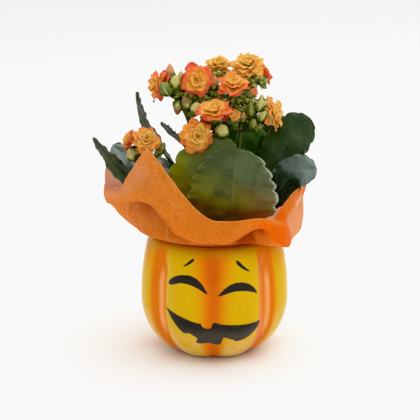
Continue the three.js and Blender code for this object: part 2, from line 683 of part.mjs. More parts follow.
/** A bloom: a core of stacked rings, with pointed petals that grow out of every ring. */
function bloomBody(bloom, random) {
  const { radius, open } = bloom;
  const size = BLOOM_SIZES.find(({ least }) => radius >= least);
  const { petals } = size;
  const layers = size.layers.map((number) => PETAL_LAYERS[number]);
  const axis = direction(bloom.faces);
  const foot = bloomFoot(bloom);
  const side = new THREE.Vector3(1, 0, 0.3).cross(axis).normalize();
  const outwardAt = (angle) => side.clone().applyAxisAngle(axis, angle);
  const points = [foot.clone()];
  const faces = [];
  const corners = petals * 2;
  const addRing = (height, ringRadius, turn, spread) => {
    for (let k = 0; k < petals; k += 1) {
      for (const half of [-spread, spread]) {
        const angle = ((k + turn + half) / petals) * 2 * Math.PI;
        const centre = foot.clone().addScaledVector(axis, height);
        points.push(centre.addScaledVector(outwardAt(angle), ringRadius));
      }
    }
    return points.length - corners;
  };
  const addBand = (low, high, keeps) => {
    for (let i = 0; i < corners; i += 1) {
      const next = (i + 1) % corners;
      if (keeps(i)) faces.push([low + i, low + next, high + next], [low + i, high + next, high + i]);
    }
  };
  const addPetal = (angle, rise, length, ringRadius, height, lowFeet, highFeet) => {
    const outward = outwardAt(angle);
    const across = new THREE.Vector3().crossVectors(axis, outward);
    const along = (a) => outward.clone().multiplyScalar(Math.cos(a)).addScaledVector(axis, Math.sin(a));
    const above = (a) => axis.clone().multiplyScalar(Math.cos(a)).addScaledVector(outward, -Math.sin(a));
    const bend = radians(mix(-20, 24, open));
    const root = foot.clone().addScaledVector(axis, height).addScaledVector(outward, ringRadius);
    const waist = root.clone().addScaledVector(along(rise), length * PETAL.waist);
    const tip = waist.clone().addScaledVector(along(rise - bend), length * (1 - PETAL.waist));
    const reach = ringRadius + length * PETAL.waist * Math.cos(rise);
    const halfWidth = Math.min(reach * Math.tan(Math.PI / petals) * 0.9, radius * 0.34);
    const start = points.length;
    for (const offset of [0.5, -0.5]) {
      const shift = above(rise).multiplyScalar(offset * PETAL.thickness);
      points.push(
        waist.clone().addScaledVector(across, -halfWidth).add(shift),
        waist.clone().addScaledVector(across, halfWidth).add(shift),
        tip.clone().addScaledVector(above(rise - bend), offset * PETAL.thickness),
      );
    }
    const upper = [...highFeet, start, start + 1, start + 2];
    const lower = [...lowFeet, start + 3, start + 4, start + 5];
    for (const [a, b, c] of [[0, 2, 3], [0, 3, 1], [2, 4, 3]]) {
      faces.push([upper[a], upper[b], upper[c]], [lower[a], lower[c], lower[b]]);
    }
    for (const [a, b] of [[0, 2], [2, 4], [4, 3], [3, 1]]) {
      faces.push([upper[b], upper[a], lower[a]], [upper[b], lower[a], lower[b]]);
    }
  };
  let below = addRing(0, BLOOM_CORE.foot, 0, 0.3);
  for (let i = 0; i < corners; i += 1) faces.push([0, below + ((i + 1) % corners), below + i]);
  let height = radius * BLOOM_CORE.firstLayer;
  layers.forEach((layer, number) => {
    const turn = number * 0.5;
    const ringRadius = radius * layer.core;
    const low = addRing(height, ringRadius, turn, 0.3);
    const high = addRing(height + PETAL.thickness, ringRadius, turn, 0.3);
    addBand(below, low, () => true);
    addBand(low, high, (i) => i % 2 === 1);
    for (let k = 0; k < petals; k += 1) {
      const rise = radians(mix(layer.rise[1], layer.rise[0], open) + (random() - 0.5) * 9);
      const length = radius * layer.length * (1 + (random() - 0.5) * 0.12);
      const angle = ((k + turn) / petals) * 2 * Math.PI;
      const middle = height + PETAL.thickness / 2;
      const [lowFeet, highFeet] = [low, high].map((first) => [first + 2 * k, first + 2 * k + 1]);
      addPetal(angle, rise, length, ringRadius, middle, lowFeet, highFeet);
    }
    below = high;
    height += PETAL.thickness + BLOOM_CORE.layerGap;
  });
  const crown = radius * mix(BLOOM_CORE.shutHeight, BLOOM_CORE.openHeight, open);
  points.push(foot.clone().addScaledVector(axis, crown));
  const pole = points.length - 1;
  for (let i = 0; i < corners; i += 1) faces.push([below + i, below + ((i + 1) % corners), pole]);
  return geometryOf(points, faces);
}

// Flower stalks with their branches, calyces and closed buds

const BRANCH = { startRadius: 1.1, endRadius: 0.8, sides: 4, steps: 3 };
const CALYX = { depth: 3.4, reach: 4, notch: 2.1, corners: 8 };

/** A branch from a stalk to a foot that it reaches along an axis. */
function branch(stalk, from, foot, axis) {
  const start = stalk.getPointAt(from);
  const span = start.distanceTo(foot);
  return tube(new THREE.CubicBezierCurve3(
    start,
    start.clone().addScaledVector(stalk.getTangentAt(from), span * 0.35),
    foot.clone().addScaledVector(axis, -span * 0.4),
    foot,
  ), BRANCH.startRadius, BRANCH.endRadius, BRANCH.sides, BRANCH.steps);
}

/** A calyx: a cup that opens from a branch's end to four pointed sepals. */
function calyx(end, axis, size) {
  const foot = end.clone().addScaledVector(axis, -CALYX.depth * size);
  const zigzag = (radius, k, row) => (row === 1 && k % 2 === 1 ? CALYX.notch * size : radius);
  return turned(foot, axis, [
    [0, 0], [0, BRANCH.endRadius * 1.3], [CALYX.depth * size, CALYX.reach * size], [CALYX.depth * size, 0],
  ], CALYX.corners, zigzag);
}

function sprayBody(name) {
  const { radius, tip, blooms, buds } = SPRAYS[name];
  const stalk = stalkCurve(name);
  const pieces = [tube(stalk, radius, tip, 7, 6)];
  for (const bloom of blooms) {
    const axis = direction(bloom.faces);
    const end = bloomFoot(bloom).addScaledVector(axis, -CLEARANCE);
    const foot = end.clone().addScaledVector(axis, -CALYX.depth * 0.6);
    pieces.push(calyx(end, axis, bloom.radius > 6 ? 1 : 0.8));
    pieces.push(branch(stalk, bloom.from, foot, axis));
  }
  for (const bud of buds) {
    const axis = direction(bud.points);
    const foot = vector(bud.at).addScaledVector(axis, -bud.length / 2);
    pieces.push(turned(foot, axis, [
      [0, 0], [0, bud.radius * 0.5], [bud.length * 0.35, bud.radius], [bud.length * 0.65, bud.radius * 0.85],
      [bud.length, 0],
    ], 5));
    pieces.push(branch(stalk, bud.from, foot.addScaledVector(axis, bud.length * 0.2), axis));
  }
  return geometryOfSolid(joined(pieces));
}

// The whole plant in its pots

const FINISHES = {
  glaze: new THREE.MeshStandardMaterial({ color: COLOURS.glaze, roughness: 0.15, metalness: 0 }),
  plastic: new THREE.MeshStandardMaterial({ color: COLOURS.plastic, roughness: 0.5, metalness: 0 }),
  soil: new THREE.MeshStandardMaterial({ color: COLOURS.soil, roughness: 0.95, metalness: 0 }),
  wrap: new THREE.MeshStandardMaterial({ color: COLOURS.wrap, roughness: 0.8, metalness: 0 }),
  leaf: new THREE.MeshStandardMaterial({ color: COLOURS.leaf, roughness: 0.4, metalness: 0 }),
  stalk: new THREE.MeshStandardMaterial({ color: COLOURS.stalk, roughness: 0.5, metalness: 0 }),
  bloom: new THREE.MeshStandardMaterial({ color: COLOURS.bloom, roughness: 0.55, metalness: 0 }),
};

const plant = new THREE.Group();

function place(name, geometry, finish) {
  const mesh = new THREE.Mesh(geometry, finish);
  mesh.name = name;
  plant.add(mesh);
}

const random = randomStream(SEED);
place('pumpkin_pot', coverPot(), FINISHES.glaze);
place('nursery_pot', nurseryPot(), FINISHES.plastic);
place('soil', soilBody(random), FINISHES.soil);
place('wrap', wrapSheet(), FINISHES.wrap);
for (const [name, leaf] of Object.entries(LEAVES)) {
  place(name, leafBody(leaf), FINISHES.leaf);
}
for (const name of Object.keys(SPRAYS)) {
  place(name, sprayBody(name), FINISHES.stalk);
}
Object.values(SPRAYS).flatMap(({ blooms }) => blooms).forEach((bloom, number) => {
  place(`bloom_${String(number + 1).padStart(2, '0')}`, bloomBody(bloom, random), FINISHES.bloom);
});

export default plant;
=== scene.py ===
"""A double-flowered kalanchoe in its nursery pot, wrapped in a sheet, in a glazed pumpkin pot.

Every size is in millimetres until a mesh is finished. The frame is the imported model's own: +Z up,
the origin at the centre of the pot's foot, +X to the right and -Y towards the camera.
"""

import logging
import math
import random
from collections.abc import Callable, Sequence
from dataclasses import dataclass, field
from enum import Enum
from functools import cached_property

import bmesh
import bpy
import numpy as np
from mathutils import Matrix, Vector, noise


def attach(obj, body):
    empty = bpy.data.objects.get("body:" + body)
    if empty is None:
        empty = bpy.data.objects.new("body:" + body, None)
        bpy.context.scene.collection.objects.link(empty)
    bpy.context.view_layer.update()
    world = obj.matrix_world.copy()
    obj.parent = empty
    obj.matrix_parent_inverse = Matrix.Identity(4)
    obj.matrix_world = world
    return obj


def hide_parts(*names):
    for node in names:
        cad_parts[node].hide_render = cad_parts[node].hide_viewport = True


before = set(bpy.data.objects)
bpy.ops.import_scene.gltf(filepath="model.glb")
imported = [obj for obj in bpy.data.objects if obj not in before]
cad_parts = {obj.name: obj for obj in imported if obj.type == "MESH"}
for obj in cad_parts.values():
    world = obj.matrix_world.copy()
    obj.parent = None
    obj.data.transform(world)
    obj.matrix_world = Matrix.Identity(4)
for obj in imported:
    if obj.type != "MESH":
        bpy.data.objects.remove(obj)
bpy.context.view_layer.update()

logging.basicConfig(level=logging.INFO, format="%(message)s")
log = logging.getLogger("kalanchoe")

MM = 0.001
FULL_TURN = 2 * math.pi
MERGE_DISTANCE = 1e-4
CLEARANCE = 0.35
SOIL_TOP = 60.0

Pair = tuple[float, float]
Triple = tuple[float, float, float]
Colour = tuple[float, float, float, float]
Mesh = bmesh.types.BMesh
Vert = bmesh.types.BMVert
Socket = bpy.types.NodeSocket


def srgb(red: int, green: int, blue: int) -> Colour:
    """Turns a colour as seen on a screen, each part from 0 to 255, into a linear one."""

    def linear(part: int) -> float:
        share = part / 255
        return share / 12.92 if share <= 0.04045 else ((share + 0.055) / 1.055) ** 2.4

    return linear(red), linear(green), linear(blue), 1.0


def mix(start: float, end: float, share: float) -> float:
    """The number that lies at a share of the way from start to end."""
    return start + (end - start) * share


def limit(value: float, low: float = 0.0, high: float = 1.0) -> float:
    """The value, kept between low and high."""
    return max(low, min(high, value))


def ease(low: float, high: float, value: float) -> float:
    """A smooth step from 0 at low to 1 at high."""
    share = limit((value - low) / (high - low))
    return share * share * (3 - 2 * share)


# Curves


class Path:
    """A smooth centripetal Catmull-Rom curve through points."""

    SAMPLES = 24

    def __init__(self, points: Sequence[Sequence[float]], closed: bool = False) -> None:
        """Keeps the points and measures the curve.

        Args:
            points: The points that the curve runs through.
            closed: Whether the curve runs on from its last point to its first.
        """
        self.points = [Vector(point) for point in points]
        self.closed = closed
        self.spans = len(self.points) - (0 if closed else 1)

    @cached_property
    def lengths(self) -> list[float]:
        """The curve's length up to each of its samples."""
        count = self.spans * self.SAMPLES
        marks = [self.point(step / count) for step in range(count + 1)]
        lengths = [0.0]
        for before, after in zip(marks, marks[1:]):
            lengths.append(lengths[-1] + (after - before).length)
        return lengths

    def _corner(self, number: int) -> Vector:
        """The point with a number, which may lie past either end."""
        points = self.points
        if self.closed:
            return points[number % len(points)]
        if number < 0:
            return points[0] * 2 - points[1]
        if number >= len(points):
            return points[-1] * 2 - points[-2]
        return points[number]

    def point(self, share: float) -> Vector:
        """The point at a share of the curve, counted in equal parts from corner to corner."""
        along = limit(share) * self.spans
        span = min(int(along), self.spans - 1)
        w = along - span
        p0, p1, p2, p3 = (self._corner(span + step) for step in (-1, 0, 1, 2))
        d0, d1, d2 = (
            max((b - a).length ** 0.5, 1e-6) for a, b in ((p0, p1), (p1, p2), (p2, p3))
        )
        t1 = ((p1 - p0) / d0 - (p2 - p0) / (d0 + d1) + (p2 - p1) / d1) * d1
        t2 = ((p2 - p1) / d1 - (p3 - p1) / (d1 + d2) + (p3 - p2) / d2) * d1
        square = (p2 - p1) * 3 - t1 * 2 - t2
        cube = (p1 - p2) * 2 + t1 + t2
        return p1 + t1 * w + square * w**2 + cube * w**3

    def at(self, share: float) -> Vector:
        """The point at a share of the curve's length."""
        target = limit(share) * self.lengths[-1]
        low, high = 0, len(self.lengths) - 1
        while high - low > 1:
            middle = (low + high) // 2
            if self.lengths[middle] <= target:
                low = middle
            else:
                high = middle
        step = self.lengths[high] - self.lengths[low]
        part = (target - self.lengths[low]) / step if step else 0
        return self.point((low + part) / (len(self.lengths) - 1))

    def tangent(self, share: float) -> Vector:
        """The curve's direction at a share of its length."""
        near = 0.001
        return (self.at(min(1, share + near)) - self.at(max(0, share - near))).normalized()


def side_of(axis: Vector) -> Vector:
    """A direction square to an axis."""
    helper = Vector((1, 0, 0.3)) if abs(axis.x) < 0.9 else Vector((0, 1, 0.3))
    return helper.cross(axis).normalized()


def compass(axis: Vector) -> Callable[[float], Vector]:
    """Finds the directions square to an axis.

    Args:
        axis: The axis, one long.

    Returns:
        A function that gives the direction at an angle round the axis, in radians.
    """
    first = side_of(axis)
    second = axis.cross(first)
    return lambda angle: first * math.cos(angle) + second * math.sin(angle)


# Meshes


def mapped_grid(bm: Mesh, columns: int, rows: int, place: Callable[..., None]) -> list[Vert]:
    """Adds a grid and hands each of its points to place, with its two shares from 0 to 1.

    Args:
        bm: The mesh that gets the grid.
        columns: How many faces the grid has along its first share.
        rows: How many faces it has along its second share.
        place: Called with each point and its shares, to put the point in its place.

    Returns:
        The grid's points.
    """
    made = bmesh.ops.create_grid(bm, x_segments=columns, y_segments=rows, size=0.5)
    for vert in made["verts"]:
        place(vert, limit(vert.co.x + 0.5), limit(vert.co.y + 0.5))
    return made["verts"]


def rolled(bm: Mesh, around: int, along: int, place: Callable[..., None]) -> None:
    """Adds a grid rolled up into a closed body, whose first and last rows are poles.

    Args:
        bm: The mesh that gets the body.
        around: How many faces it has around.
        along: How many faces it has from pole to pole.
        place: Called with each point, its angle and its share from pole to pole.
    """
    verts = mapped_grid(
        bm, around, along, lambda vert, u, v: place(vert, u * FULL_TURN, v)
    )
    bmesh.ops.remove_doubles(bm, verts=verts, dist=MERGE_DISTANCE)


def tube(
    bm: Mesh, path: Path, radius: Callable[[float], float], around: int, along: int
) -> None:
    """Adds a closed round tube along a path.

    Args:
        bm: The mesh that gets the tube.
        path: The tube's middle line.
        radius: The tube's radius at each share of its length.
        around: How many faces it has around.
        along: How many faces it has from end to end.
    """
    rows: dict[int, tuple[Vector, Vector, Vector, float]] = {}
    side = side_of(path.tangent(0))
    for row in range(along + 1):
        share = limit((row - 1) / (along - 2))
        tangent = path.tangent(share)
        side = (side - tangent * side.dot(tangent)).normalized()
        size = 0.0 if row in (0, along) else radius(share)
        rows[row] = (path.at(share), side.copy(), tangent.cross(side), size)

    def place(vert: Vert, angle: float, share: float) -> None:
        """Puts a point on its ring."""
        row = round(share * along)
        centre, first, second, size = rows[row]
        vert.co = centre + (first * math.cos(angle) + second * math.sin(angle)) * size

    rolled(bm, around, along, place)


def spun(bm: Mesh, profile: Sequence[Pair], steps: int) -> None:
    """Adds a section that is turned round the Z axis.

    Args:
        bm: The mesh that gets the body.
        profile: The section's radii and heights, from the axis back to the axis.
        steps: How many faces the body has around.
    """
    section = [bm.verts.new((radius, 0, z)) for radius, z in profile]
    edges = [bm.edges.new(pair) for pair in zip(section, section[1:])]
    bmesh.ops.spin(
        bm,
        geom=section + edges,
        cent=(0, 0, 0),
        axis=(0, 0, 1),
        angle=FULL_TURN,
        steps=steps,
        use_merge=True,
    )
    bmesh.ops.remove_doubles(bm, verts=bm.verts, dist=MERGE_DISTANCE)


def float_layers(bm: Mesh, *names: str) -> dict[str, object]:
    """Gives the mesh's points a number for each name, which a material can read."""
    return {name: bm.verts.layers.float.new(name) for name in names}


def piece_of(
    bm: Mesh, name: str, material: bpy.types.Material, slot: str, *nodes: str
) -> bpy.types.Object:
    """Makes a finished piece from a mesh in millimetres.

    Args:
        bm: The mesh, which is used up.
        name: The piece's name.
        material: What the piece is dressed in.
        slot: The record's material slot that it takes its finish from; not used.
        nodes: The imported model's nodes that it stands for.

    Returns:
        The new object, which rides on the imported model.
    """
    bmesh.ops.recalc_face_normals(bm, faces=bm.faces)
    bmesh.ops.scale(bm, vec=(MM, MM, MM), verts=bm.verts)
    mesh = bpy.data.meshes.new(name)
    bm.to_mesh(mesh)
    bm.free()
    mesh.materials.append(material)
    for polygon in mesh.polygons:
        polygon.use_smooth = True
    piece = bpy.data.objects.new(name, mesh)
    bpy.context.scene.collection.objects.link(piece)
    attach(piece, "root")
    if nodes:
        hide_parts(*nodes)
    log.info("%s: %d faces", name, len(mesh.polygons))
    return piece


# Finishes


class Graph:
    """A material's node graph, with a Principled shader at its end."""

    def __init__(self, name: str) -> None:
        """Starts the material.

        Args:
            name: The material's name.
        """
        self.material = bpy.data.materials.new(name)
        self.material.use_nodes = True
        self.nodes = self.material.node_tree.nodes
        self.links = self.material.node_tree.links
        self.shader = self.nodes["Principled BSDF"]
        self.output = self.nodes["Material Output"]

    def set(self, **values: object) -> None:
        """Sets the shader's own sockets. An underscore in a name stands for a space."""
        for name, value in values.items():
            self.shader.inputs[name.replace("_", " ")].default_value = value

    def join(self, source: object, target: object) -> None:
        """Links a socket to a socket, or sets a plain value on it."""
        if isinstance(source, Socket):
            self.links.new(source, target)
        else:
            target.default_value = source

    def paint(self, colour: object) -> None:
        """Links a colour to the shader."""
        self.join(colour, self.shader.inputs["Base Color"])

    def attribute(self, name: str) -> Socket:
        """A number that the mesh keeps at its points."""
        node = self.nodes.new("ShaderNodeAttribute")
        node.attribute_name = name
        return node.outputs["Fac"]

    def position(self) -> Socket:
        """The place on the object, in metres."""
        return self.nodes.new("ShaderNodeTexCoord").outputs["Object"]

    def combine(self, x: object, y: object, z: object = 0.0) -> Socket:
        """A vector of three numbers."""
        node = self.nodes.new("ShaderNodeCombineXYZ")
        for source, target in zip((x, y, z), node.inputs):
            self.join(source, target)
        return node.outputs[0]

    def noise(
        self, scale: float, detail: float = 3.0, roughness: float = 0.55, vector: object = None
    ) -> Socket:
        """A cloudy pattern from 0 to 1, with so many clouds to a metre."""
        node = self.nodes.new("ShaderNodeTexNoise")
        node.inputs["Scale"].default_value = scale
        node.inputs["Detail"].default_value = detail
        node.inputs["Roughness"].default_value = roughness
        self.join(vector or self.position(), node.inputs["Vector"])
        return node.outputs["Fac"]

    def math(self, operation: str, a: object, b: object = 0.0) -> Socket:
        """What an operation makes of one or two numbers."""
        node = self.nodes.new("ShaderNodeMath")
        node.operation = operation
        self.join(a, node.inputs[0])
        self.join(b, node.inputs[1])
        return node.outputs[0]

    def times(self, a: object, b: object) -> Socket:
        """One number times another."""
        return self.math("MULTIPLY", a, b)

    def plus(self, a: object, b: object) -> Socket:
        """One number plus another."""
        return self.math("ADD", a, b)

    def minus(self, a: object, b: object) -> Socket:
        """One number less another."""
        return self.math("SUBTRACT", a, b)

    def drift(self, pattern: object, strength: float) -> Socket:
        """A pattern from 0 to 1, moved to lie round 0 and weakened."""
        return self.times(self.minus(pattern, 0.5), strength)

    def span(
        self, value: object, low: float, high: float, out_low: float = 0.0, out_high: float = 1.0
    ) -> Socket:
        """A smooth step of a number from one range to another."""
        node = self.nodes.new("ShaderNodeMapRange")
        node.interpolation_type = "SMOOTHSTEP"
        for source, target in zip((value, low, high, out_low, out_high), node.inputs):
            self.join(source, target)
        return node.outputs[0]

    def ramp(self, value: object, *stops: tuple[float, Colour]) -> Socket:
        """Colours at stops from 0 to 1."""
        node = self.nodes.new("ShaderNodeValToRGB")
        elements = node.color_ramp.elements
        while len(elements) < len(stops):
            elements.new(0.5)
        for element, (at, colour) in zip(elements, stops):
            element.position = at
            element.color = colour
        self.join(value, node.inputs[0])
        return node.outputs[0]

    def blend(self, factor: object, a: object, b: object, kind: str = "MIX") -> Socket:
        """One colour laid over another."""
        node = self.nodes.new("ShaderNodeMix")
        node.data_type = "RGBA"
        node.blend_type = kind
        self.join(factor, node.inputs[0])
        self.join(a, node.inputs[6])
        self.join(b, node.inputs[7])
        return node.outputs[2]

    def bump(self, height: object, depth: float) -> None:
        """Raises the surface by a height from 0 to 1, with the depth in millimetres."""
        node = self.nodes.new("ShaderNodeBump")
        node.inputs["Strength"].default_value = 1.0
        node.inputs["Distance"].default_value = depth * MM
        self.join(height, node.inputs["Height"])
        before = self.shader.inputs["Normal"]
        if before.is_linked:
            self.join(before.links[0].from_socket, node.inputs["Normal"])
        self.join(node.outputs[0], before)

    def roughen(self, value: object) -> None:
        """Links a number to the shader's roughness."""
        self.join(value, self.shader.inputs["Roughness"])

    def translucent(self, colour: object) -> Socket:
        """A shader that lets light through from behind."""
        node = self.nodes.new("ShaderNodeBsdfTranslucent")
        self.join(colour, node.inputs["Color"])
        return node.outputs[0]

    def lay(self, factor: object, first: object, second: object) -> Socket:
        """One shader laid over another."""
        node = self.nodes.new("ShaderNodeMixShader")
        for source, target in zip((factor, first, second), node.inputs):
            self.join(source, target)
        return node.outputs[0]

    def end_with(self, shader: object) -> None:
        """Links a shader to the material's end."""
        self.join(shader, self.output.inputs["Surface"])


@dataclass(frozen=True)
class GlazeFinish:
    """Glossy amber glaze, sprayed orange in the grooves, with a face painted under it, pale lines
    beside the grooves that are partly painted highlights, and a paler foot that is partly a painted
    floor reflection.
    """

    lobe: Colour = srgb(208, 168, 0)
    flank: Colour = srgb(214, 146, 6)
    groove: Colour = srgb(216, 116, 4)
    deep: Colour = srgb(200, 92, 2)
    ochre: Colour = srgb(190, 136, 24)
    # pale line beside the side grooves: partly thinner glaze, partly a painted highlight
    thin: Colour = srgb(244, 164, 96)
    # paler wash low on the pot: partly thinner glaze, partly a painted reflection of the floor
    bare: Colour = srgb(232, 190, 120)
    paint: Colour = srgb(40, 36, 34)
    # the face's paint, lighter low down: partly wear, partly a painted reflection of the floor
    worn_and_reflected: Colour = srgb(74, 71, 64)

    def material(self) -> bpy.types.Material:
        """Builds the material."""
        graph = Graph("amber_glaze")
        drift = graph.drift(graph.noise(70, 2), 0.3)
        groove = graph.plus(graph.attribute("groove"), drift)
        body = graph.ramp(
            groove, (0.1, self.lobe), (0.42, self.flank), (0.72, self.groove), (1.0, self.deep)
        )
        body = graph.blend(graph.times(graph.attribute("ochre"), 0.7), body, self.ochre)
        mottle = graph.span(graph.noise(420, 3), 0.4, 0.8, 0, 0.16)
        body = graph.blend(mottle, body, self.ochre)
        # A pale line beside the side grooves: partly thinner glaze, partly a painted highlight
        pale = graph.plus(graph.attribute("thin"), drift)
        body = graph.blend(graph.span(pale, 0.15, 0.9), body, self.thin)
        edge = graph.plus(graph.attribute("paint"), graph.drift(graph.noise(1500, 2), 0.4))
        face = graph.span(edge, -0.25, 0.25)
        # Low on the pot the glaze is paler and the face's paint lighter: partly thinner glaze and
        # wear, partly a painted reflection of the floor
        bare = graph.attribute("bare")
        wash = graph.span(bare, -0.1, 0.3, 0.15, 0.85)
        wash = graph.blend(graph.times(wash, graph.noise(260, 2)), self.paint, self.worn_and_reflected)
        wash = graph.blend(graph.span(bare, 0, 0.3, 0, 0.75), wash, self.worn_and_reflected)
        runs_and_reflection = graph.times(bare, graph.span(graph.noise(110, 2), 0.25, 0.6))
        runs_and_reflection = graph.times(runs_and_reflection, graph.span(graph.attribute("groove"), 0.6, 0.1))
        body = graph.blend(graph.times(runs_and_reflection, 0.6), body, self.bare)
        graph.paint(graph.blend(face, body, wash))
        graph.roughen(graph.span(graph.noise(120, 2), 0.3, 0.7, 0.1, 0.16))
        graph.set(Specular_IOR_Level=0.18, IOR=1.5)
        graph.bump(graph.noise(170, 2), 0.06)
        graph.bump(face, 0.02)
        return graph.material


@dataclass(frozen=True)
class PlasticFinish:
    """Thin black moulded plastic with dust."""

    body: Colour = srgb(38, 36, 35)
    dust: Colour = srgb(92, 80, 68)

    def material(self) -> bpy.types.Material:
        """Builds the material."""
        graph = Graph("pot_plastic")
        dusty = graph.span(graph.noise(260, 4), 0.5, 0.75, 0, 0.6)
        graph.paint(graph.blend(dusty, self.body, self.dust))
        graph.roughen(graph.span(graph.noise(400, 2), 0.3, 0.7, 0.4, 0.6))
        graph.bump(graph.noise(1800, 2), 0.03)
        return graph.material


@dataclass(frozen=True)
class SoilFinish:
    """Dark damp peat with fibres and pale grains."""

    damp: Colour = srgb(44, 30, 22)
    dry: Colour = srgb(98, 72, 50)
    grain: Colour = srgb(196, 184, 164)

    def material(self) -> bpy.types.Material:
        """Builds the material."""
        graph = Graph("peat_mix")
        peat = graph.ramp(graph.noise(420, 5, 0.7), (0.32, self.damp), (0.72, self.dry))
        pale = graph.span(graph.attribute("pale"), 0.4, 0.6)
        graph.paint(graph.blend(pale, peat, self.grain))
        graph.set(Roughness=0.92)
        graph.bump(graph.noise(900, 4, 0.7), 0.5)
        return graph.material


@dataclass(frozen=True)
class WrapFinish:
    """Thin orange non-woven sheet: pressed fibres that let some light through."""

    body: Colour = srgb(248, 158, 62)
    dense: Colour = srgb(202, 104, 30)
    thin: Colour = srgb(255, 188, 106)
    glow: Colour = srgb(255, 146, 44)
    # Pale colour of rubbed fibres, and of the painted highlight along the cut border
    cut: Colour = srgb(255, 196, 120)
    shade: Colour = srgb(196, 140, 96)
    # Deeper orange where the sheet lies double, partly a painted glow of light through the folds
    doubled_and_glow: Colour = srgb(252, 132, 6)
    # Paler colour of the thin single layer, partly painted light shining through it
    pale: Colour = srgb(255, 208, 156)
    gaps: float = 0.58
    let_through: float = 0.54

    def material(self) -> bpy.types.Material:
        """Builds the material."""
        graph = Graph("non_woven_sheet")
        warp, weft = graph.attribute("warp"), graph.attribute("weft")
        flecks = graph.noise(1500, 3, 0.8)
        slanting = graph.plus(graph.times(warp, 1.9), graph.times(weft, 1.4))
        strands = graph.noise(1, 3, 0.7, graph.combine(slanting, graph.times(weft, 0.5)))
        fibre = graph.plus(graph.times(flecks, 0.55), graph.times(strands, 0.45))
        fibre = graph.span(fibre, 0.33, 0.67)
        cloth = graph.ramp(fibre, (0.12, self.dense), (0.48, self.body), (0.9, self.thin))
        clumps = graph.noise(190, 3, 0.6)
        cloth = graph.blend(graph.span(clumps, 0.5, 0.78, 0, 0.3), cloth, self.dense)
        stretched = graph.combine(graph.times(warp, 0.3), graph.times(weft, 0.03))
        rubs = graph.noise(1, 2, 0.5, stretched)
        rubbed = graph.times(graph.span(rubs, 0.58, 0.72), graph.attribute("crushed"))
        cloth = graph.blend(graph.times(rubbed, 0.45), cloth, self.cut)
        sheer, doubled_and_glow = graph.attribute("sheer"), graph.attribute("doubled_and_glow")
        # Sheer parts are paler: partly thinner fibre, partly painted light shining through
        cloth = graph.blend(graph.times(sheer, 0.6), cloth, self.pale)
        # Folds and doubled strips are saturated orange: partly a doubled sheet, partly a painted
        # glow
        cloth = graph.blend(graph.times(doubled_and_glow, 0.8), cloth, self.doubled_and_glow)
        # Painted highlight along the cut border
        cloth = graph.blend(graph.times(graph.attribute("edge"), 0.6), cloth, self.cut)
        # Painted shade under the flap, in the hollow and in the valley of a fold
        cloth = graph.blend(graph.attribute("shade"), cloth, self.shade, "MULTIPLY")
        graph.paint(cloth)
        graph.set(Roughness=0.8, Specular_IOR_Level=0.15, Sheen_Weight=0.12, Sheen_Roughness=0.5)
        graph.bump(fibre, 0.10)
        graph.bump(rubbed, 0.25)
        through = graph.translucent(graph.blend(0.6, cloth, self.glow))
        clear = graph.nodes.new("ShaderNodeBsdfTransparent")
        gaps = graph.span(fibre, 0.1, 0.9, self.gaps * 0.7, self.gaps * 1.3)
        gaps = graph.plus(gaps, graph.times(sheer, 0.08))
        gaps = graph.times(gaps, graph.span(doubled_and_glow, 0, 1, 1, 0.15))
        thinner = graph.lay(gaps, through, clear.outputs[0])
        let_through = graph.span(sheer, 0, 1, self.let_through, self.let_through + 0.08)
        graph.end_with(graph.lay(let_through, graph.shader.outputs[0], thinner))
        return graph.material


